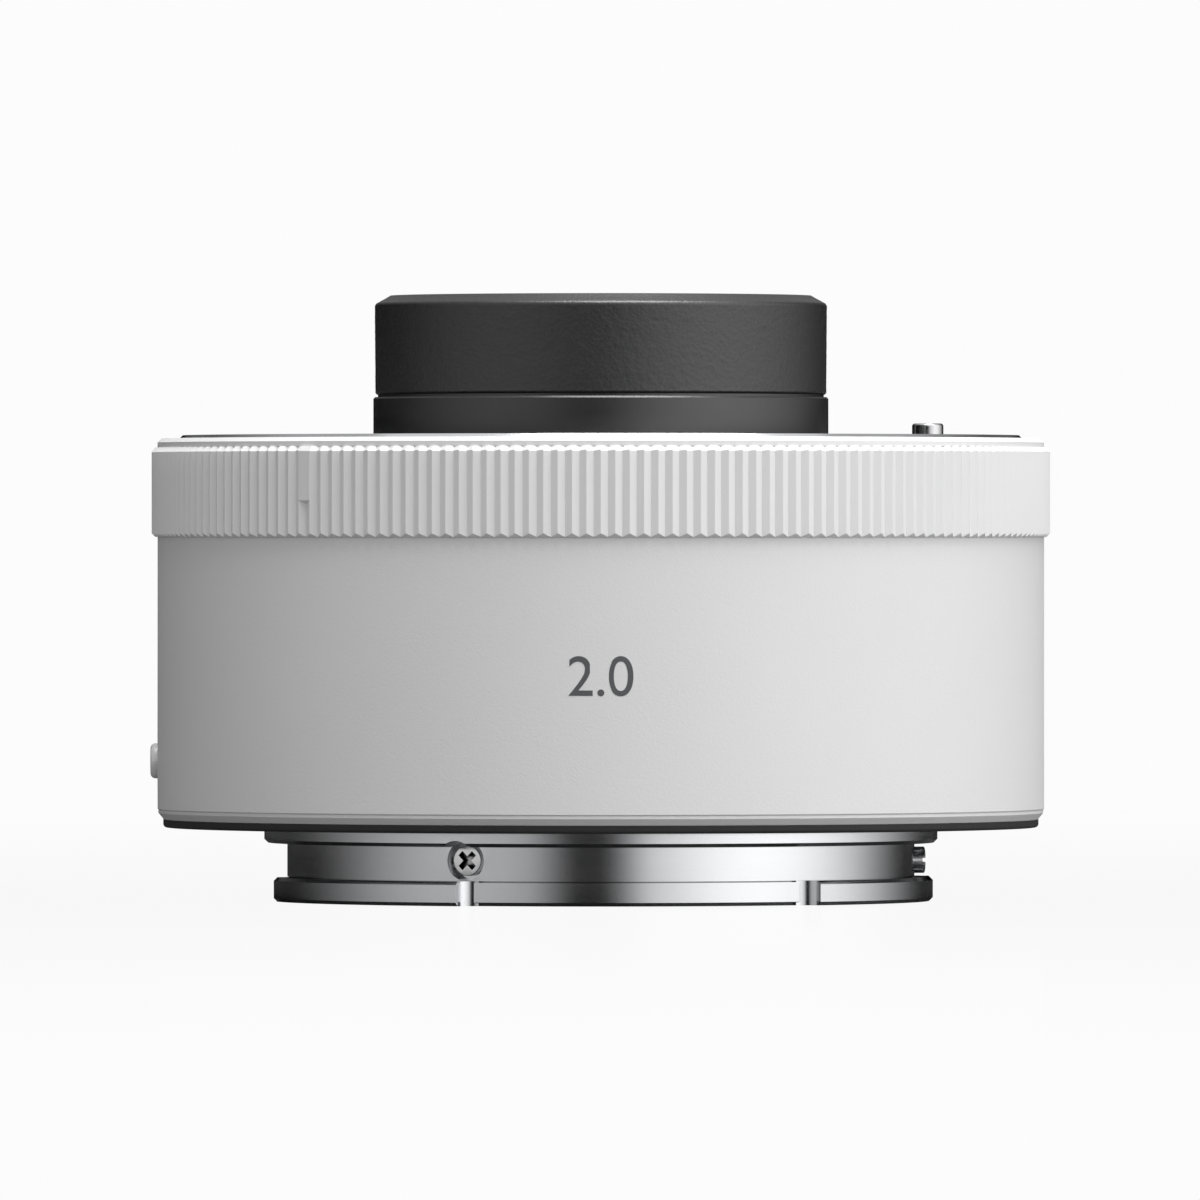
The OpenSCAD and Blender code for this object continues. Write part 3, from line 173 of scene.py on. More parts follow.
class FinishColours(bpy.types.PropertyGroup):
    """Colours of the finishes, as sRGB hex values"""
    enamel: tint("Enamel", "White paint of the body", "e4e4e4")
    chrome: tint("Chrome", "Plating of the two bayonets", "cbccce")
    steel: tint("Steel", "Screws, pin and springs", "b9b9ba")
    nickel: tint("Nickel", "Plating of the screws in the bayonet tube", "e2e2e3")
    aluminium: tint("Aluminium", "Bare chassis", "b4b6b8")
    anodised: tint("Anodised black", "Lens barrel and its rings", "161617")
    grained: tint("Grained black", "Nose cap", "151516")
    plastic: tint("Black plastic", "Baffles and contact block", "161617")
    rubber: tint("Rubber", "Rear seal", "2b2b2c")
    gold: tint("Gold", "Contacts", "d9b56a")
    board: tint("Board", "Solder mask of the circuit board", "1d5a36")
    flex: tint("Flex", "Polyimide of the flexible circuits", "a8651c")
    ink: tint("Ink", "Printed number", "57585a")


class StageSettings(bpy.types.PropertyGroup):
    """Light tent, floor and camera"""
    key: amount("Key", "Radiance of the tent's bright side", 1.94)
    key_az: bearing("Key azimuth", "Direction of the bright side", 60)
    fill: amount("Fill", "Radiance of the tent's weaker side", 0.74)
    fill_az: bearing("Fill azimuth", "Direction of the weaker side", -50)
    back: amount("Back", "Radiance of the tent behind the object", 0.7)
    upper: amount("Room", "Level of the room over the tent's sides, as metal mirrors it", 0.55)
    lamp: amount("Lamp", "Power of the soft lamp above, in watts", 7.6)
    lamp_az: bearing("Lamp azimuth", "Direction of the soft lamp", 40)
    lamp_up: bearing("Lamp elevation", "Elevation of the soft lamp", 78)
    sky: amount("Sky", "Light from above, on matt surfaces", 0.55)
    white: tint("Background", "Background as the camera sees it", "fcfcfc")
    floor: tint("Floor", "Colour of the floor", "5a5a5a")
    camera_back: length("Camera distance", "Distance of the camera", 1.33)
    camera_up: length("Camera height", "Height of the camera", 20.5 * MM)
    focal: amount("Focal length", "Focal length in millimetres", 574.6)
    shift: amount("Lens shift", "Shift of the picture down from the camera's level", -0.0586)


class TeleconverterSettings(bpy.types.PropertyGroup):
    """All settings of the teleconverter"""
    grip: bpy.props.PointerProperty(type=GripSizes)
    cap: bpy.props.PointerProperty(type=CapSizes)
    screw: bpy.props.PointerProperty(type=ScrewSizes)
    mark: bpy.props.PointerProperty(type=MarkSizes)
    colours: bpy.props.PointerProperty(type=FinishColours)
    stage: bpy.props.PointerProperty(type=StageSettings)


# Modelling by operators

def active():
    return bpy.context.view_layer.objects.active


def clear_selection():
    """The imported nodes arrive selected, so everything is deselected before a primitive is added."""
    bpy.ops.object.select_all(action="DESELECT")


def choose(piece):
    """Makes a piece the only selected one and the active one."""
    clear_selection()
    piece.select_set(True)
    bpy.context.view_layer.objects.active = piece


def apply_place():
    """Moves the active piece's place into its mesh, so that its object is at the origin."""
    bpy.ops.object.transform_apply(location=True, rotation=True, scale=True)


def edit():
    bpy.ops.object.mode_set(mode="EDIT")


def leave_edit():
    bpy.ops.object.mode_set(mode="OBJECT")


def pick(kind, test):
    """Selects the verts, edges or faces of the mesh in edit mode that pass a test, and counts them."""
    bpy.ops.mesh.select_mode(type=kind)
    bpy.ops.mesh.select_all(action="DESELECT")
    mesh = bpy.context.edit_object.data
    form = bmesh.from_edit_mesh(mesh)
    count = 0
    for part in {"VERT": form.verts, "EDGE": form.edges, "FACE": form.faces}[kind]:
        if test(part):
            part.select_set(True)
            count += 1
    form.select_flush_mode()
    bmesh.update_edit_mesh(mesh)
    return count


def weld():
    """Merges doubles and turns all faces outwards."""
    bpy.ops.mesh.select_mode(type="VERT")
    bpy.ops.mesh.select_all(action="SELECT")
    bpy.ops.mesh.remove_doubles(threshold=WELD)
    bpy.ops.mesh.select_all(action="SELECT")
    bpy.ops.mesh.normals_make_consistent(inside=False)


def slice_off(point, normal):
    """Cuts away what lies beyond a plane and closes the cut."""
    bpy.ops.mesh.select_mode(type="FACE")
    bpy.ops.mesh.select_all(action="SELECT")
    bpy.ops.mesh.bisect(plane_co=point, plane_no=normal.normalized(), use_fill=True, clear_outer=True)


def turn(name, points, steps):
    """Draws a profile of (radius, height) points vertex by vertex and spins it round Z."""
    clear_selection()
    bpy.ops.mesh.primitive_plane_add(size=MM)
    piece = active()
    piece.name = name
    edit()
    bpy.ops.mesh.select_mode(type="VERT")
    bpy.ops.mesh.select_all(action="SELECT")
    bpy.ops.mesh.merge(type="CENTER")
    bpy.ops.transform.translate(value=(points[0][0], 0, points[0][1]))
    for a, b in zip(points, points[1:]):
        bpy.ops.mesh.extrude_region_move(TRANSFORM_OT_translate={"value": (b[0] - a[0], 0, b[1] - a[1])})
    bpy.ops.mesh.select_all(action="SELECT")
    bpy.ops.mesh.spin(steps=steps, angle=math.tau, center=(0, 0, 0), axis=(0, 0, 1))
    weld()
    leave_edit()
    return piece


def arc(middle, radius, start, end, steps):
    """Points of an arc in the profile plane, angles in degrees from +radius towards +height."""
    angles = [math.radians(start + (end - start) * i / steps) for i in range(steps + 1)]
    return [(middle[0] + radius * math.cos(a), middle[1] + radius * math.sin(a)) for a in angles]


def place(piece, matrix):
    """Puts a piece at its place and applies that, so that its object stays at the origin."""
    choose(piece)
    piece.matrix_world = matrix @ piece.matrix_world
    apply_place()


def copy_of(piece, name):
    """A copy of a piece with its own mesh."""
    made = piece.copy()
    made.data = piece.data.copy()
    made.name = name
    bpy.context.scene.collection.objects.link(made)
    return made


def join(pieces, name):
    """Joins pieces into the first one."""
    clear_selection()
    for p in pieces:
        p.select_set(True)
    bpy.context.view_layer.objects.active = pieces[0]
    if len(pieces) > 1:
        bpy.ops.object.join()
    pieces[0].name = name
    return pieces[0]


def modify(piece, kind, **settings):
    """Adds a modifier and applies it."""
    choose(piece)
    made = piece.modifiers.new(kind.lower(), kind)
    for key, value in settings.items():
        setattr(made, key, value)
    bpy.ops.object.modifier_apply(modifier=made.name)


def smooth(piece, angle):
    """Smooth shading, with edges sharper than angle left as they are."""
    choose(piece)
    bpy.ops.object.shade_smooth_by_angle(angle=math.radians(angle))


def at_az(az, radius, height=0.0):
    """The matrix that carries a piece from the origin to an azimuth, with its own -Y outwards."""
    return Matrix.Rotation(math.radians(az), 4, "Z") @ Matrix.Translation((0, -radius, height))


def dress(piece, finish, body, node=None):
    """Gives a new piece its finish, its body and the node that it stands for."""
    piece.data.materials.clear()
    piece.data.materials.append(bpy.data.materials[finish])
    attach(piece, body)
    if node:
        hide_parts(node)
    return piece


# Finishes

def linear(code, alpha=1.0):
    """The linear colour of an sRGB hex value."""
    parts = [int(code[i:i + 2], 16) / 255 for i in (0, 2, 4)]
    return tuple(c / 12.92 if c <= 0.04045 else ((c + 0.055) / 1.055) ** 2.4 for c in parts) + (alpha,)


def shade(code, factor):
    """A hex colour made darker or lighter, as a linear colour."""
    return tuple(min(1.0, c * factor) for c in linear(code)[:3]) + (1.0,)


def per(size_mm):
    """Pattern scale from the real size of one feature in millimetres."""
    return 1.0 / (size_mm * MM)


def add(tree, kind, links=None, **settings):
    """Adds a node with its settings, and links or sets its inputs."""
    made = tree.nodes.new(kind)
    for key, value in settings.items():
        setattr(made, key, value)
    for socket, value in (links or {}).items():
        if isinstance(value, bpy.types.NodeSocket):
            tree.links.new(value, made.inputs[socket])
        else:
            made.inputs[socket].default_value = value
    return made


def finish(name, **sockets):
    """Starts a material; constant values go straight to the shader's own sockets."""
    made = bpy.data.materials.new(name)
    if made.name != name:
        raise RuntimeError("the packed part has a material called " + name)
    made.use_nodes = True
    tree = made.node_tree
    shader = tree.nodes["Principled BSDF"]
    for socket, value in sockets.items():
        shader.inputs[socket.replace("_", " ")].default_value = value
    coords = add(tree, "ShaderNodeTexCoord").outputs["Object"]
    return tree, shader, coords


def noise(tree, coords, size_mm, detail=2.0):
    """Noise with features of a real size."""
    made = add(tree, "ShaderNodeTexNoise", {"Vector": coords, "Scale": per(size_mm), "Detail": detail})
    return made.outputs["Fac"]


def calc(tree, operation, *values):
    """The result of one sum."""
    return add(tree, "ShaderNodeMath", dict(enumerate(values)), operation=operation).outputs[0]


def spread(tree, value, low, high, start=0.0, end=1.0):
    """A value that runs from low to high while another runs from start to end."""
    return add(tree, "ShaderNodeMapRange", {"Value": value, "From Min": start, "From Max": end,
                                            "To Min": low, "To Max": high}).outputs[0]


def between(tree, share, code, dark, pale):
    """A colour that drifts from a darker to a paler shade of a hex colour."""
    return add(tree, "ShaderNodeMix", {0: share, 6: shade(code, dark), 7: shade(code, pale)},
               data_type="RGBA").outputs[2]


def bumped(tree, height, strength, depth_mm):
    """A normal that leans with a height."""
    return add(tree, "ShaderNodeBump", {"Strength": strength, "Distance": depth_mm * MM, "Height": height}).outputs[0]


def wire(tree, shader, colour=None, rough=None, normal=None):
    """Links a finish's colour, roughness and normal to its shader."""
    for socket, value in (("Base Color", colour), ("Roughness", rough), ("Normal", normal)):
        if value is not None:
            tree.links.new(value, shader.inputs[socket])


def surface(tree, made):
    """Makes a shader node the material's surface."""
    tree.links.new(made.outputs[0], tree.nodes["Material Output"].inputs["Surface"])


def turning(tree, coords):
    """Coordinates that are the same all round the axis, for the lines that a lathe leaves."""
    parts = add(tree, "ShaderNodeSeparateXYZ", {"Vector": coords})
    flat = add(tree, "ShaderNodeCombineXYZ", {"X": parts.outputs["X"], "Y": parts.outputs["Y"]})
    radius = add(tree, "ShaderNodeVectorMath", {0: flat.outputs[0]}, operation="LENGTH")
    ring = add(tree, "ShaderNodeCombineXYZ", {"X": radius.outputs["Value"], "Z": parts.outputs["Z"]})
    return ring.outputs[0], radius.outputs["Value"], parts.outputs["Z"]


def shaded_in_recesses(tree, colour, code, reach_mm, clear):
    """Darkens a colour in grooves and recesses by ambient occlusion: painted shade where little light reaches."""
    open_sky = add(tree, "ShaderNodeAmbientOcclusion", {"Distance": reach_mm * MM}, samples=8, only_local=True)
    unshaded = spread(tree, open_sky.outputs["AO"], 0.0, 1.0, clear - 0.35, clear)
    both = add(tree, "ShaderNodeMix", {0: unshaded, 6: shade(code, 0.05), 7: colour}, data_type="RGBA")
    return both.outputs[2]


def white_enamel(c):
    # Baked white enamel on cast metal: satin, with the fine even grain of sprayed paint
    tree, shader, coords = finish("white_enamel", Metallic=0.0)
    # The grain is a tenth of a millimetre and is drawn a little coarser, so that it shows
    grain, cloud = noise(tree, coords, 0.16), noise(tree, coords, 14, 3.0)
    wire(tree, shader, between(tree, cloud, c.enamel, 0.97, 1.03), spread(tree, grain, 0.44, 0.58),
         bumped(tree, grain, 0.5, 0.02))


def mark_paint(c):
    # White paint run into a recess: glossier than the body, with a slightly domed skin
    tree, shader, coords = finish("mark_paint", Metallic=0.0)
    cloud = noise(tree, coords, 0.8)
    wire(tree, shader, between(tree, cloud, c.enamel, 0.98, 1.05), spread(tree, cloud, 0.22, 0.34),
         bumped(tree, cloud, 0.1, 0.02))


def turned_metal(name, code, low, high, line_mm, depth_mm):
    # Metal turned on a lathe: fine rings all round the axis, which draw the light out along them
    tree, shader, coords = finish(name, Metallic=1.0)
    ring, _, _ = turning(tree, coords)
    lines, haze = noise(tree, ring, line_mm), noise(tree, coords, 5, 3.0)
    both = add(tree, "ShaderNodeMix", {0: 0.5, 2: lines, 3: haze}).outputs[0]
    # Painted shade darkens the narrow grooves and chamfers
    colour = shaded_in_recesses(tree, between(tree, haze, code, 0.95, 1.05), code, 0.2, 0.6)
    wire(tree, shader, colour, spread(tree, both, low, high, 0.25, 0.75), bumped(tree, lines, 0.3, depth_mm))


def plain_metal(name, code, low, high, scratch_mm):
    # Small steel and gold pieces: tumbled after making, so short scratches run every way
    tree, shader, coords = finish(name, Metallic=1.0)
    long = add(tree, "ShaderNodeMapping", {"Vector": coords, "Scale": (1.0, 1.0, 0.25), "Rotation": (0.4, 0.7, 0.2)})
    scratch = noise(tree, long.outputs[0], scratch_mm, 3.0)
    # Painted shade darkens the recesses, such as the screws' cross recesses
    colour = shaded_in_recesses(tree, between(tree, scratch, code, 0.9, 1.06), code, 0.6, 0.88)
    wire(tree, shader, colour, spread(tree, scratch, low, high, 0.3, 0.7), bumped(tree, scratch, 0.15, 0.004))


def satin_anodising(c):
    # Anodised aluminium, dyed black: turned smooth outside, with fine light-trap ridges in the bore
    tree, shader, coords = finish("satin_anodising", Metallic=0.0, IOR=1.7)
    ridge_mm, bore_r_mm = 0.4, 14.6
    ring, radius, height = turning(tree, coords)
    lines, haze = noise(tree, ring, 0.12), noise(tree, coords, 3, 3.0)
    ridge = calc(tree, "SINE", calc(tree, "MULTIPLY", height, math.tau * per(ridge_mm)))
    inside = calc(tree, "MULTIPLY", ridge, calc(tree, "LESS_THAN", radius, bore_r_mm * MM))
    rise = calc(tree, "MULTIPLY_ADD", lines, 0.15, inside)
    wire(tree, shader, between(tree, haze, c.anodised, 0.8, 1.2), spread(tree, haze, 0.28, 0.36),
         bumped(tree, rise, 0.3, 0.03))


def grained_black(c):
    # Black paint over a leather grain: matt in the creases, with a low sheen on the cells
    tree, shader, coords = finish("grained_black", Metallic=0.0, IOR=1.68)
    cells = add(tree, "ShaderNodeTexVoronoi", {"Vector": coords, "Scale": per(0.26)}, feature="F1")
    pores, cloud = noise(tree, coords, 0.09), noise(tree, coords, 1.5, 3.0)
    rise = calc(tree, "MULTIPLY_ADD", pores, 0.4, cells.outputs["Distance"])
    wire(tree, shader, between(tree, cloud, c.grained, 0.8, 1.2), spread(tree, pores, 0.34, 0.46),
         bumped(tree, rise, 0.4, 0.025))


def moulded_black(name, code, grain_mm, low, high):
    # Moulded black plastic, epoxy or rubber: matt, with the mould's fine spark-eroded skin
    tree, shader, coords = finish(name, Metallic=0.0)
    skin, cloud = noise(tree, coords, grain_mm), noise(tree, coords, grain_mm * 20, 3.0)
    wire(tree, shader, between(tree, cloud, code, 0.85, 1.15), spread(tree, skin, low, high),
         bumped(tree, skin, 0.3, 0.02))


def coated_glass(name, film_nm):
    # Optical glass with an anti-reflection coating, which tints its reflections; its rim is blackened
    tree, shader, coords = finish(name, Base_Color=(1, 1, 1, 1), Metallic=0.0, Transmission_Weight=1.0, IOR=1.6,
                                  Thin_Film_Thickness=film_nm, Thin_Film_IOR=1.38)
    dust = noise(tree, coords, 0.5, 4.0)
    wire(tree, shader, rough=spread(tree, dust, 0.0, 0.04, 0.6, 0.9))
    where = add(tree, "ShaderNodeNewGeometry")
    parts = add(tree, "ShaderNodeSeparateXYZ", {"Vector": where.outputs["Normal"]})
    rim = calc(tree, "LESS_THAN", calc(tree, "ABSOLUTE", parts.outputs["Z"]), 0.25)
    paint = add(tree, "ShaderNodeBsdfDiffuse", {"Color": linear("0b0b0c")})
    surface(tree, add(tree, "ShaderNodeMixShader", {0: rim, 1: shader.outputs[0], 2: paint.outputs[0]}))


def solder_mask(c):
    # Circuit board: green solder mask over copper tracks, which show as paler raised lines
    tree, shader, coords = finish("solder_mask", Metallic=0.0, Roughness=0.35)
    tracks = add(tree, "ShaderNodeTexVoronoi", {"Vector": coords, "Scale": per(1.6)}, distance="MANHATTAN",
                 feature="F2")
    lines = spread(tree, tracks.outputs["Distance"], 0.0, 1.0, 0.7, 0.74)
    wire(tree, shader, between(tree, lines, c.board, 1.0, 1.7), normal=bumped(tree, lines, 0.3, 0.03))


def amber_film(c):
    # Polyimide film: glossy amber, with the copper tracks showing through as darker stripes
    tree, shader, coords = finish("amber_film", Metallic=0.0, Roughness=0.28)
    wave = add(tree, "ShaderNodeTexWave", {"Vector": coords, "Scale": per(9), "Distortion": 0.4})
    stripes = wave.outputs["Fac"]
    wire(tree, shader, between(tree, stripes, c.flex, 0.7, 1.2), normal=bumped(tree, stripes, 0.2, 0.01))


def printed_ink(c):
    # Silk-screened grey ink: a thin matt film, a little uneven where it left the mesh
    tree, shader, coords = finish("printed_ink", Metallic=0.0)
    mesh = noise(tree, coords, 0.2)
    wire(tree, shader, between(tree, mesh, c.ink, 0.9, 1.1), spread(tree, mesh, 0.5, 0.65))


# The finish of each of the record's slots
SLOT_FINISH = {
    "white_paint": "white_enamel", "white_mark": "mark_paint", "black_rubber": "seal_rubber",
    "bayonet_chrome": "turned_chrome", "screw_steel": "zinc_plating", "pin_steel": "ground_steel",
    "spring_steel": "spring_wire", "bare_aluminium": "turned_aluminium", "black_anodised": "satin_anodising",
    "black_grained": "grained_black", "black_plastic": "moulded_plastic", "contact_gold": "gold_plating",
    "optical_glass": "glass_magenta", "board_green": "solder_mask", "chip_black": "chip_epoxy",
    "flex_amber": "amber_film",
}
GREEN_GLASS = ("element_2", "element_4", "element_7")


class TELECONVERTER_OT_finishes(bpy.types.Operator):
    """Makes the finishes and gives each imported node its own"""
    bl_idname = "teleconverter.finishes"
    bl_label = "Finishes"

    def execute(self, context):
        c = context.scene.teleconverter.colours
        white_enamel(c)
        mark_paint(c)
        turned_metal("turned_chrome", c.chrome, 0.1, 0.18, 0.12, 0.0014)
        turned_metal("turned_aluminium", c.aluminium, 0.26, 0.4, 0.15, 0.003)
        plain_metal("zinc_plating", c.steel, 0.22, 0.38, 0.12)
        plain_metal("ground_steel", c.steel, 0.1, 0.18, 0.15)
        plain_metal("bright_nickel", c.nickel, 0.14, 0.24, 0.15)
        plain_metal("spring_wire", c.steel, 0.2, 0.3, 0.1)
        plain_metal("gold_plating", c.gold, 0.18, 0.3, 0.12)
        satin_anodising(c)
        grained_black(c)
        moulded_black("moulded_plastic", c.plastic, 0.14, 0.5, 0.68)
        moulded_black("seal_rubber", c.rubber, 0.1, 0.6, 0.75)
        moulded_black("chip_epoxy", "1a1a1b", 0.08, 0.5, 0.65)
        coated_glass("glass_magenta", 105.0)
        coated_glass("glass_green", 320.0)
        solder_mask(c)
        amber_film(c)
        printed_ink(c)
        for row in frame["record"]["subparts"]:
            name = "glass_green" if row["node"] in GREEN_GLASS else SLOT_FINISH[row["material_slot"]]
            slots = frame["nodes"][row["node"]].data.materials
            slots.clear()
            slots.append(bpy.data.materials[name])
        return {"FINISHED"}


class TELECONVERTER_OT_grip_ring(bpy.types.Operator):
    """Knurled grip ring: one tooth is cut, then copied round the axis, and one groove is filled"""
    bl_idname = "teleconverter.grip_ring"
    bl_label = "Grip ring"

    def execute(self, context):
        s = context.scene.teleconverter.grip
        low, high = GRIP_LOW.z, GRIP_HIGH.z
        pitch = math.tau / s.teeth
        root = s.crest - s.depth
        clear_selection()
        bpy.ops.mesh.primitive_plane_add(size=1, location=((s.inner + root) / 2, 0, (low + high) / 2),
                                         rotation=(math.pi / 2, 0, 0))
        ring = active()
        ring.name = "knurled_grip"
        ring.scale = (root - s.inner, high - low, 1)
        apply_place()
        edit()
        bpy.ops.mesh.select_all(action="SELECT")
        bpy.ops.mesh.spin(steps=2, angle=pitch, center=(0, 0, 0), axis=(0, 0, 1))
        form = bmesh.from_edit_mesh(ring.data)
        end = max((math.atan2(v.co.y, v.co.x) for v in form.verts), key=abs)
        middle = end / 2
        out = Vector((math.cos(middle), math.sin(middle), 0))
        near = 1e-4 * pitch

        def angle(v):
            return math.atan2(v.co.y, v.co.x)

        def on_crest(v):
            return abs(angle(v) - middle) < near and v.co.xy.length > root - WELD

        if pick("EDGE", lambda e: e.is_boundary):
            bpy.ops.mesh.edge_face_add()
        if pick("VERT", on_crest) != 2:
            raise RuntimeError("the tooth has no crest to draw out")
        bpy.ops.transform.translate(value=out * s.depth)
        pick("EDGE", lambda e: all(on_crest(v) for v in e.verts))
        bpy.ops.mesh.bevel(offset=s.blunt, segments=2, affect="EDGES")
        # One chamfer cuts the lower end; at the top each flank has a steep bevel of its own
        up = Vector((0, 0, 1))
        cuts = [(out * s.crest + up * (low + s.low_h), out * s.low_h - up * s.low_w)]
        for side in (0.0, end):
            flank = out * s.crest - Vector((math.cos(side), math.sin(side), 0)) * root
            facing = flank.cross(up).normalized()
            if facing.dot(out) < 0:
                facing.negate()
            cuts.append((out * s.crest + up * (high - s.top_h), facing * s.top_h + up * s.top_w))
        for point, normal in cuts:
            slice_off(point, normal)
        for side in (0.0, end):
            pick("FACE", lambda f: all(abs(angle(v) - side) < near for v in f.verts))
            bpy.ops.mesh.delete(type="FACE")
        bpy.ops.mesh.select_all(action="SELECT")
        bpy.ops.mesh.spin(steps=s.teeth - 1, dupli=True, angle=math.tau - pitch, center=(0, 0, 0), axis=(0, 0, 1))
        weld()
        leave_edit()
        # A groove, and not a crest, lies at the index
        place(ring, Matrix.Rotation(math.radians(INDEX_AZ - 90), 4, "Z"))

        flat = s.crest * math.cos(pitch / 2)
        back = root - s.depth
        foot = high - s.index_length
        clear_selection()
        bpy.ops.mesh.primitive_cube_add(size=1, location=((back + flat) / 2, 0, (foot - s.depth + high) / 2))
        fill = active()
        fill.scale = (flat - back, 2 * s.crest * math.sin(pitch / 2), high - foot + s.depth)
        apply_place()
        edit()
        slice_off((flat, 0, foot), Vector((1, 0, -1)))
        slice_off((flat, 0, high - s.top_h), Vector((s.top_h, 0, s.top_w)))
        weld()
        leave_edit()
        place(fill, Matrix.Rotation(math.radians(INDEX_AZ - 90), 4, "Z"))
        join([ring, fill], "knurled_grip")
        smooth(ring, 20)
        dress(ring, "white_enamel", "housing", "grip_ring")
        return {"FINISHED"}


class TELECONVERTER_OT_nose_cap(bpy.types.Operator):
    """Nose cap, turned from its profile and pressed with a leather grain"""
    bl_idname = "teleconverter.nose_cap"
    bl_label = "Grained nose cap"

    def execute(self, context):
        s = context.scene.teleconverter.cap
        foot, top = CAP_LOW.z, CAP_HIGH.z
        row = s.grain / 3.6
        shoulder = top - s.bevel_h
        edge = 0.12 * MM
        rows = round((shoulder - foot - 2 * edge) / row)
        side = [(s.radius - s.draft * (1 - i / rows), foot + edge + (shoulder - foot - 2 * edge) * i / rows)
                for i in range(rows + 1)]
        slope = math.hypot(s.bevel_w, s.bevel_h)
        steps = round((slope - edge) / row)
        bevel = [(s.radius - s.bevel_w * (edge + (slope - edge) * i / steps) / slope,
                  shoulder + s.bevel_h * (edge + (slope - edge) * i / steps) / slope) for i in range(steps + 1)]
        points = [(s.radius - s.wall, foot), (s.radius - s.draft - edge, foot)] + side + bevel
        points += [(s.opening + s.lip, top), (s.opening, top - s.lip), (s.radius - s.wall, top - s.lip),
                   (s.radius - s.wall, foot)]
        cap = turn("grained_cap", points, round(math.tau * s.radius / row))
        # The grain presses the side and the bevel, and fades out at their edges
        grained = cap.vertex_groups.new(name="grained")
        for v in cap.data.vertices:
            r, z = v.co.xy.length, v.co.z
            if r > s.radius - s.bevel_w - WELD and foot + WELD < z < top - WELD and r > s.opening + s.lip:
                fade = min(1.0, (z - foot) / (2 * edge), (top - z) / (2 * edge))
                if r > s.radius - s.wall + WELD or z > top - s.lip + WELD:
                    grained.add([v.index], fade, "REPLACE")
        cells = bpy.data.textures.new("leather_cells", "VORONOI")
        cells.noise_scale = s.grain
        cells.weight_1, cells.weight_2 = -1.0, 1.0
        cells.noise_intensity = 1.0
        modify(cap, "DISPLACE", texture=cells, texture_coords="LOCAL", vertex_group="grained",
               strength=s.grain_depth, mid_level=0.6)
        folds = bpy.data.textures.new("leather_folds", "CLOUDS")
        folds.noise_scale = s.grain * 1.6
        modify(cap, "DISPLACE", texture=folds, texture_coords="LOCAL", vertex_group="grained",
               strength=s.grain_depth * 0.6, mid_level=0.6)
        smooth(cap, 50)
        dress(cap, "grained_black", "housing", "nose_cap")
        return {"FINISHED"}


class TELECONVERTER_OT_bayonet_screws(bpy.types.Operator):
    """Screws in the bayonet tube: two sunk ones with a cross recess and a slotted one that is the bayonet's stop"""
    bl_idname = "teleconverter.bayonet_screws"
    bl_label = "Bayonet screws"

    def execute(self, context):
        s = context.scene.teleconverter.screw
        sunk = self.turned(s, "sunk_screw", s.head, s.rise, 0.05 * MM)
        for quarter in (45, 135):
            self.cut(sunk, s.rise, (s.span, s.slot, s.sink), quarter, 0.85)
        stop = self.turned(s, "stop_screw", s.stop_head, s.stop_rise, 0.1 * MM)
        self.cut(stop, s.stop_rise, (3 * s.stop_head, s.stop_slot, s.stop_sink), 0, 1.0)
        screws = [sunk, stop, copy_of(sunk, "sunk_screw_2")]
        for i, screw in enumerate(screws):
            smooth(screw, 32)
            depth = s.stop_depth if screw == stop else s.depth
            place(screw, at_az(TUBE_SCREW_AZ + 120 * i, s.seat, -depth) @ Matrix.Rotation(math.pi / 2, 4, "X"))
        dress(join(screws, "bayonet_tube_screws"), "bright_nickel", "housing", "bayonet_screws")
        return {"FINISHED"}

    def turned(self, s, name, head, rise, edge):
        """A screw that stands on its own axis, with the underside of its head at the origin."""
        points = [(0, -s.reach), (s.shank * 0.7, -s.reach), (s.shank, -s.reach + 0.15 * MM), (s.shank, 0), (head, 0)]
        points += arc((head - edge, rise - edge), edge, 0, 90, 4)
        return turn(name, points + [(0, rise)], 48)

    def cut(self, screw, rise, size, quarter, taper):
        """Cuts one arm of a recess into the head's face, narrower at its floor by the taper."""
        span, width, sink = size
        clear_selection()
        bpy.ops.mesh.primitive_cube_add(size=1, location=(0, 0, rise))
        arm = active()
        arm.scale = (span, width, 2 * sink)
        apply_place()
        edit()
        pick("FACE", lambda f: f.normal.z < -0.9)
        bpy.ops.transform.resize(value=(taper, taper, 1.0), center_override=(0, 0, rise - sink))
        leave_edit()
        place(arm, Matrix.Rotation(math.radians(quarter), 4, "Z"))
        modify(screw, "BOOLEAN", object=arm, operation="DIFFERENCE", solver="EXACT")
        bpy.data.objects.remove(arm)


class TELECONVERTER_OT_rear_seal(bpy.types.Operator):
    """Rubber seal round the flange, with a rounded lip"""
    bl_idname = "teleconverter.rear_seal"
    bl_label = "Rear seal"

    def execute(self, context):
        low, high = SEAL_LOW.z, SEAL_HIGH.z
        outer = SEAL_HIGH.x
        inner = 28.06 * MM
        lip = outer - 1.1 * MM
        base = 0.05 * MM
        corner = 0.24 * MM
        soft = 0.1 * MM
        points = [(inner, high), (inner, base), (lip, base)]
        points += arc((lip + soft, low + soft), soft, 180, 270, 4)
        points += arc((outer - corner, low + corner), corner, 270, 360, 6)
        points += [(outer, high), (inner, high)]
        seal = turn("rubber_seal", points, 288)
        smooth(seal, 40)
        dress(seal, "seal_rubber", "housing", "rear_seal")
        return {"FINISHED"}


def reach(joint):
    """The longer of a joint's two limits, in metres or radians."""
    for row in frame["record"]["behaviour"]["joints"]:
        if row["name"] == joint:
            if "range_m" in row:
                return max(abs(value) for value in row["range_m"])
            return math.radians(max(abs(value) for value in row["range_deg"]))
    raise RuntimeError("the record has no joint called " + joint)


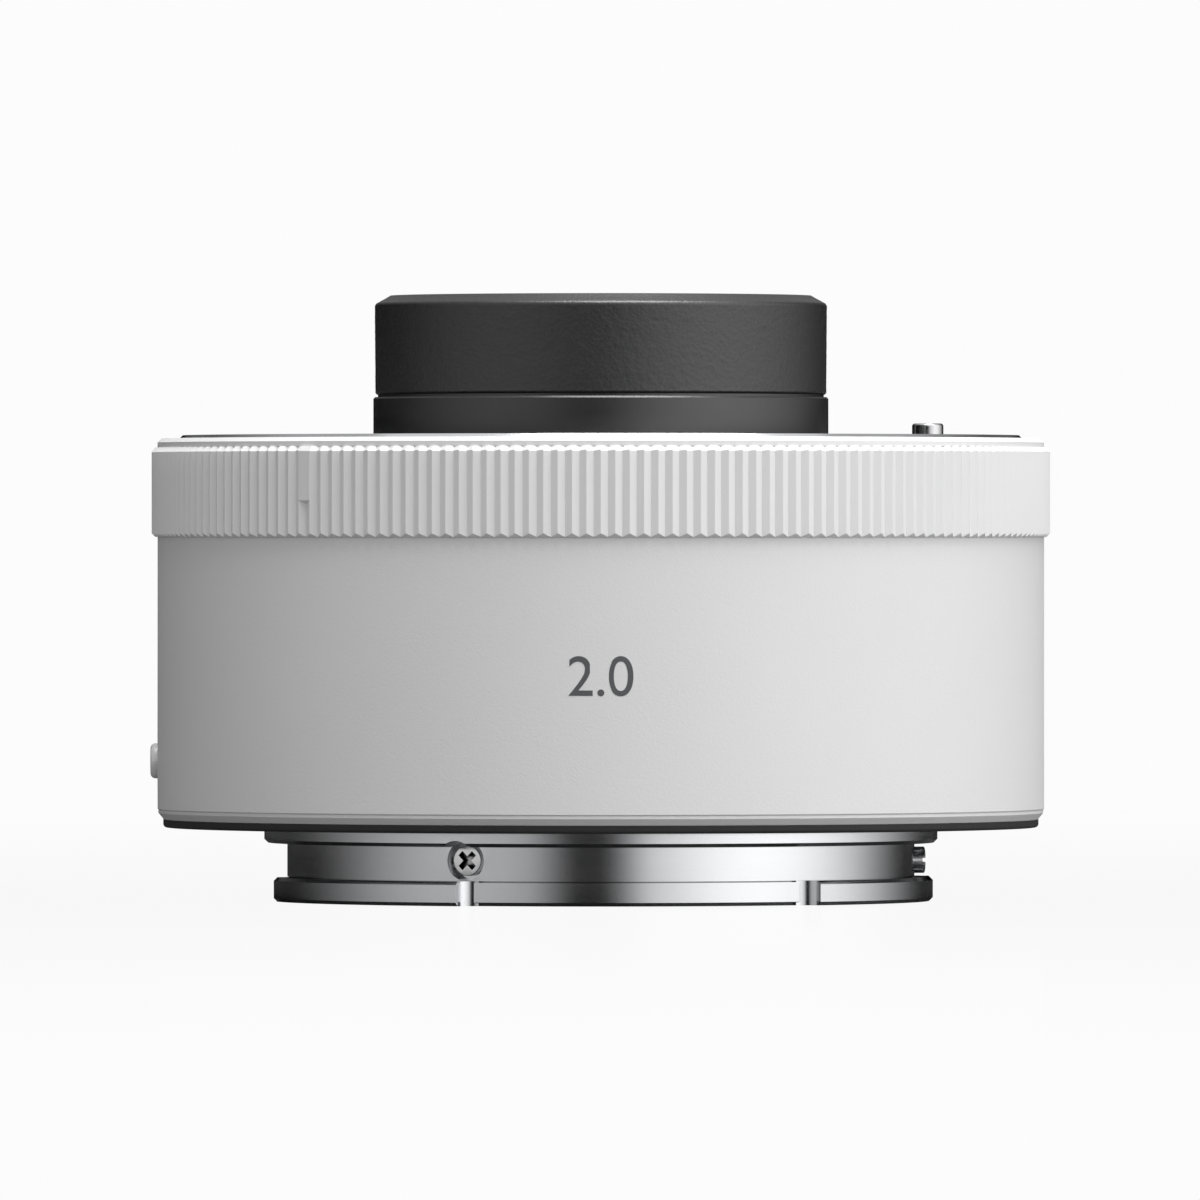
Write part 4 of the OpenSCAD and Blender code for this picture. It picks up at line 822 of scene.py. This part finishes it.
def wound(name, coil_r, wire, length_m, turns):
    """A spring of round wire that stands on its own origin, wound by a screw modifier and closed at its ends."""
    clear_selection()
    bpy.ops.mesh.primitive_circle_add(vertices=10, radius=wire, location=(coil_r, 0, wire),
                                      rotation=(math.pi / 2, 0, 0))
    spring = active()
    spring.name = name
    apply_place()
    modify(spring, "SCREW", axis="Z", angle=math.tau, screw_offset=(length_m - 2 * wire) / turns,
           iterations=turns, steps=28, render_steps=28, use_merge_vertices=False)
    edit()
    bpy.ops.mesh.select_mode(type="EDGE")
    if pick("EDGE", lambda e: e.is_boundary):
        bpy.ops.mesh.fill()
    weld()
    leave_edit()
    smooth(spring, 50)
    return spring


class TELECONVERTER_OT_springs(bpy.types.Operator):
    """Wound springs of the lock pin, the release lever and the contacts"""
    bl_idname = "teleconverter.springs"
    bl_label = "Springs"

    def execute(self, context):
        pin_ring = 26.2 * MM
        pin_len, pin_travel = 4.2 * MM, reach("lock_pin_slide")
        spring = wound("lock_pin_coil", 1.35 * MM, 0.15 * MM, pin_len, 5)
        place(spring, at_az(PIN_AZ, pin_ring, PIN_SPRING_Z))
        dress(spring, "spring_wire", "housing", "lock_pin_spring")
        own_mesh(spring)

        contact_len, contact_travel = 3.1 * MM, reach("contact_press")
        first = wound("contact_coil", 0.45 * MM, 0.08 * MM, contact_len, 3)
        coils = [first] + [copy_of(first, f"contact_coil_{i}") for i in range(1, CONTACTS)]
        for i, coil in enumerate(coils):
            az = CONTACT_AZ + (i - (CONTACTS - 1) / 2) * CONTACT_PITCH
            place(coil, at_az(az, 18.4 * MM, CONTACT_SPRING_Z))
        coils = join(coils, "contact_coils")
        dress(coils, "gold_plating", "housing", "contact_springs")
        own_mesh(coils)

        lever_len, lever_r, lever_turn = 4.6 * MM, 28.975 * MM, reach("lever_swing")
        start = PIN_AZ + 8
        middle = start + math.degrees(lever_len / lever_r) / 2
        spring = wound("lever_coil", 0.3 * MM, 0.09 * MM, lever_len, 6)
        lay = Matrix.Translation((-lever_len / 2, 0, 0)) @ Matrix.Rotation(math.pi / 2, 4, "Y")
        height = (LEVER_SPRING_LOW.z + LEVER_SPRING_HIGH.z) / 2
        place(spring, at_az(middle, lever_r, height) @ lay)
        dress(spring, "spring_wire", "housing", "lever_spring")
        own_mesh(spring)
        return {"FINISHED"}


class TELECONVERTER_OT_mark(bpy.types.Operator):
    """Plain number printed on the front of the shell"""
    bl_idname = "teleconverter.mark"
    bl_label = "Printed number"

    def execute(self, context):
        s = context.scene.teleconverter.mark
        clear_selection()
        bpy.ops.object.text_add(location=(0, -SHELL_R - MM, s.level), rotation=(math.pi / 2, 0, 0))
        mark = active()
        mark.data.body = s.text
        mark.data.size = s.height
        mark.data.align_x, mark.data.align_y = "CENTER", "CENTER"
        bpy.ops.object.convert(target="MESH")
        mark = active()
        mark.name = "printed_number"
        apply_place()
        edit()
        half = max(abs(v.co.x) for v in bmesh.from_edit_mesh(mark.data).verts)
        strips = 24
        for i in range(1, strips):
            bpy.ops.mesh.select_all(action="SELECT")
            bpy.ops.mesh.bisect(plane_co=(half * (2 * i / strips - 1), 0, 0), plane_no=(1, 0, 0))
        weld()
        leave_edit()
        modify(mark, "SHRINKWRAP", target=frame["nodes"]["main_shell"], wrap_method="NEAREST_SURFACEPOINT",
               wrap_mode="ABOVE_SURFACE", offset=0.25 * s.film)
        modify(mark, "SOLIDIFY", thickness=s.film, offset=1.0)
        dress(mark, "printed_ink", "housing")
        return {"FINISHED"}


class TELECONVERTER_OT_stage(bpy.types.Operator):
    """Light tent, floor, background and camera"""
    bl_idname = "teleconverter.stage"
    bl_label = "Stage"

    def execute(self, context):
        s = context.scene.teleconverter.stage
        self.camera(context, s)
        self.floor(s)
        self.tent(s)
        self.lamp(s)
        self.background(context, s)
        context.scene.view_settings.view_transform = "Standard"
        return {"FINISHED"}

    def camera(self, context, s):
        bpy.ops.object.camera_add(location=(-0.06 * MM, -s.camera_back, s.camera_up), rotation=(math.pi / 2, 0, 0))
        camera = active()
        camera.data.sensor_width = SENSOR_MM
        camera.data.lens = s.focal
        camera.data.shift_y = s.shift
        context.scene.camera = camera

    def floor(self, s):
        clear_selection()
        bpy.ops.mesh.primitive_plane_add(size=FLOOR_SIZE, location=(0, 0, FOOT_Z - 0.01 * MM))
        floor = active()
        floor.name = "floor"
        # Smooth acrylic: where it is seen at a low angle it mirrors the tent, as the chrome shows
        tree, shader, coords = finish("pale_floor", Base_Color=linear(s.floor), Roughness=0.08)
        path = add(tree, "ShaderNodeLightPath").outputs
        away = add(tree, "ShaderNodeVectorMath", {0: coords}, operation="LENGTH").outputs["Value"]
        # Inside the tent, reflections keep the floor's own look; the camera sees a faint shadow near the object
        seen = calc(tree, "MAXIMUM", path["Is Glossy Ray"], path["Is Transmission Ray"])
        mirrored = calc(tree, "MULTIPLY", seen, spread(tree, away, 0.0, 1.0, 0.45, TENT_R))
        far_floor = spread(tree, away, 0.96, 1.0, 0.05, 0.4)
        share = calc(tree, "MULTIPLY_ADD", path["Is Camera Ray"], far_floor, mirrored)
        white = add(tree, "ShaderNodeEmission", {"Color": linear(s.white), "Strength": 1.0})
        surface(tree, add(tree, "ShaderNodeMixShader", {0: share, 1: shader.outputs[0], 2: white.outputs[0]}))
        floor.data.materials.append(bpy.data.materials["pale_floor"])

    def tent(self, s):
        # A drum of white cloth, lit from outside: bright on the right, weaker on the left, dark by the camera
        clear_selection()
        bpy.ops.mesh.primitive_cylinder_add(vertices=96, radius=TENT_R, depth=TENT_H, end_fill_type="NOTHING",
                                            location=(0, 0, TENT_H / 2 + FOOT_Z - MM))
        tent = active()
        tent.name = "light_tent"
        apply_place()
        tree, shader, coords = finish("lit_cloth")
        tree.nodes.remove(shader)
        parts = add(tree, "ShaderNodeSeparateXYZ", {"Vector": coords}).outputs
        az = calc(tree, "ARCTAN2", parts["X"], calc(tree, "MULTIPLY", parts["Y"], -1.0))
        lobes = []
        for strength, middle, power in ((s.key, s.key_az, 2.2), (s.fill, s.fill_az, 2.6), (s.back, math.pi, 14.0)):
            facing = calc(tree, "COSINE", calc(tree, "SUBTRACT", az, middle))
            lobe = calc(tree, "POWER", calc(tree, "MAXIMUM", facing, 0.0), power)
            lobes.append(calc(tree, "MULTIPLY", lobe, strength))
        # The back is lit above the object only, so that the chrome's outlines stay dark
        high_up = spread(tree, parts["Z"], 0.0, 1.0, 0.1, 0.3)
        total = calc(tree, "MULTIPLY_ADD", lobes[2], high_up, calc(tree, "ADD", lobes[0], lobes[1]))
        # Metal that faces up also mirrors the white room over the tent's sides
        mirrored = add(tree, "ShaderNodeLightPath").outputs["Is Glossy Ray"]
        room = calc(tree, "MULTIPLY", spread(tree, parts["Z"], 0.0, s.upper, 0.2, 0.6), mirrored)
        total = calc(tree, "MAXIMUM", total, room)
        # The dark opening for the camera is only a low one
        wide = calc(tree, "ABSOLUTE", calc(tree, "ADD", az, math.radians(4)))
        notch = add(tree, "ShaderNodeMapRange", {"Value": wide, "From Min": math.radians(3),
                                                 "From Max": math.radians(24)}, interpolation_type="SMOOTHSTEP")
        shut = calc(tree, "MAXIMUM", notch.outputs[0], spread(tree, parts["Z"], 0.0, 1.0, 0.06, 0.16))
        surface(tree, add(tree, "ShaderNodeEmission", {"Strength": calc(tree, "MULTIPLY", total, shut)}))
        tent.data.materials.append(bpy.data.materials["lit_cloth"])
        tent.visible_camera = False

    def lamp(self, s):
        # A square soft box above the front right, which the upright chrome doesn't mirror to the camera
        clear_selection()
        aim = Matrix.Rotation(s.lamp_az, 4, "Z") @ Matrix.Rotation(math.pi / 2 - s.lamp_up, 4, "X")
        bpy.ops.object.light_add(type="AREA")
        lamp = active()
        lamp.name = "soft_box"
        lamp.data.shape = "SQUARE"
        lamp.data.size = LAMP_SIZE
        lamp.data.energy = s.lamp
        lamp.matrix_world = aim @ Matrix.Translation((0, 0, LAMP_AWAY))

    def background(self, context, s):
        world = bpy.data.worlds.new("white_studio")
        context.scene.world = world
        world.use_nodes = True
        tree = world.node_tree
        path = add(tree, "ShaderNodeLightPath").outputs
        mirrored = calc(tree, "MAXIMUM", path["Is Glossy Ray"], path["Is Transmission Ray"])
        strength = spread(tree, calc(tree, "MAXIMUM", path["Is Camera Ray"], mirrored), s.sky, 1.0)
        tree.nodes["Background"].inputs["Color"].default_value = linear(s.white)
        tree.links.new(strength, tree.nodes["Background"].inputs["Strength"])


class TELECONVERTER_PT_panel(bpy.types.Panel):
    """Lists the operators that build the teleconverter"""
    bl_idname = "TELECONVERTER_PT_panel"
    bl_label = "Teleconverter"
    bl_space_type = "VIEW_3D"
    bl_region_type = "UI"
    bl_category = "Teleconverter"

    def draw(self, context):
        for kind in OPERATORS:
            self.layout.operator(kind.bl_idname)


OPERATORS = (TELECONVERTER_OT_finishes, TELECONVERTER_OT_grip_ring, TELECONVERTER_OT_nose_cap,
             TELECONVERTER_OT_bayonet_screws, TELECONVERTER_OT_rear_seal, TELECONVERTER_OT_springs,
             TELECONVERTER_OT_mark, TELECONVERTER_OT_stage)
CLASSES = (GripSizes, CapSizes, ScrewSizes, MarkSizes, FinishColours, StageSettings, TeleconverterSettings,
           *OPERATORS, TELECONVERTER_PT_panel)


def register():
    for kind in CLASSES:
        bpy.utils.register_class(kind)
    bpy.types.Scene.teleconverter = bpy.props.PointerProperty(type=TeleconverterSettings)


def unregister():
    del bpy.types.Scene.teleconverter
    for kind in reversed(CLASSES):
        bpy.utils.unregister_class(kind)


def main():
    register()
    bpy.ops.teleconverter.finishes()
    bpy.ops.teleconverter.grip_ring()
    bpy.ops.teleconverter.nose_cap()
    bpy.ops.teleconverter.bayonet_screws()
    bpy.ops.teleconverter.rear_seal()
    bpy.ops.teleconverter.springs()
    bpy.ops.teleconverter.mark()
    bpy.ops.teleconverter.stage()


if __name__ == "__main__":
    main()
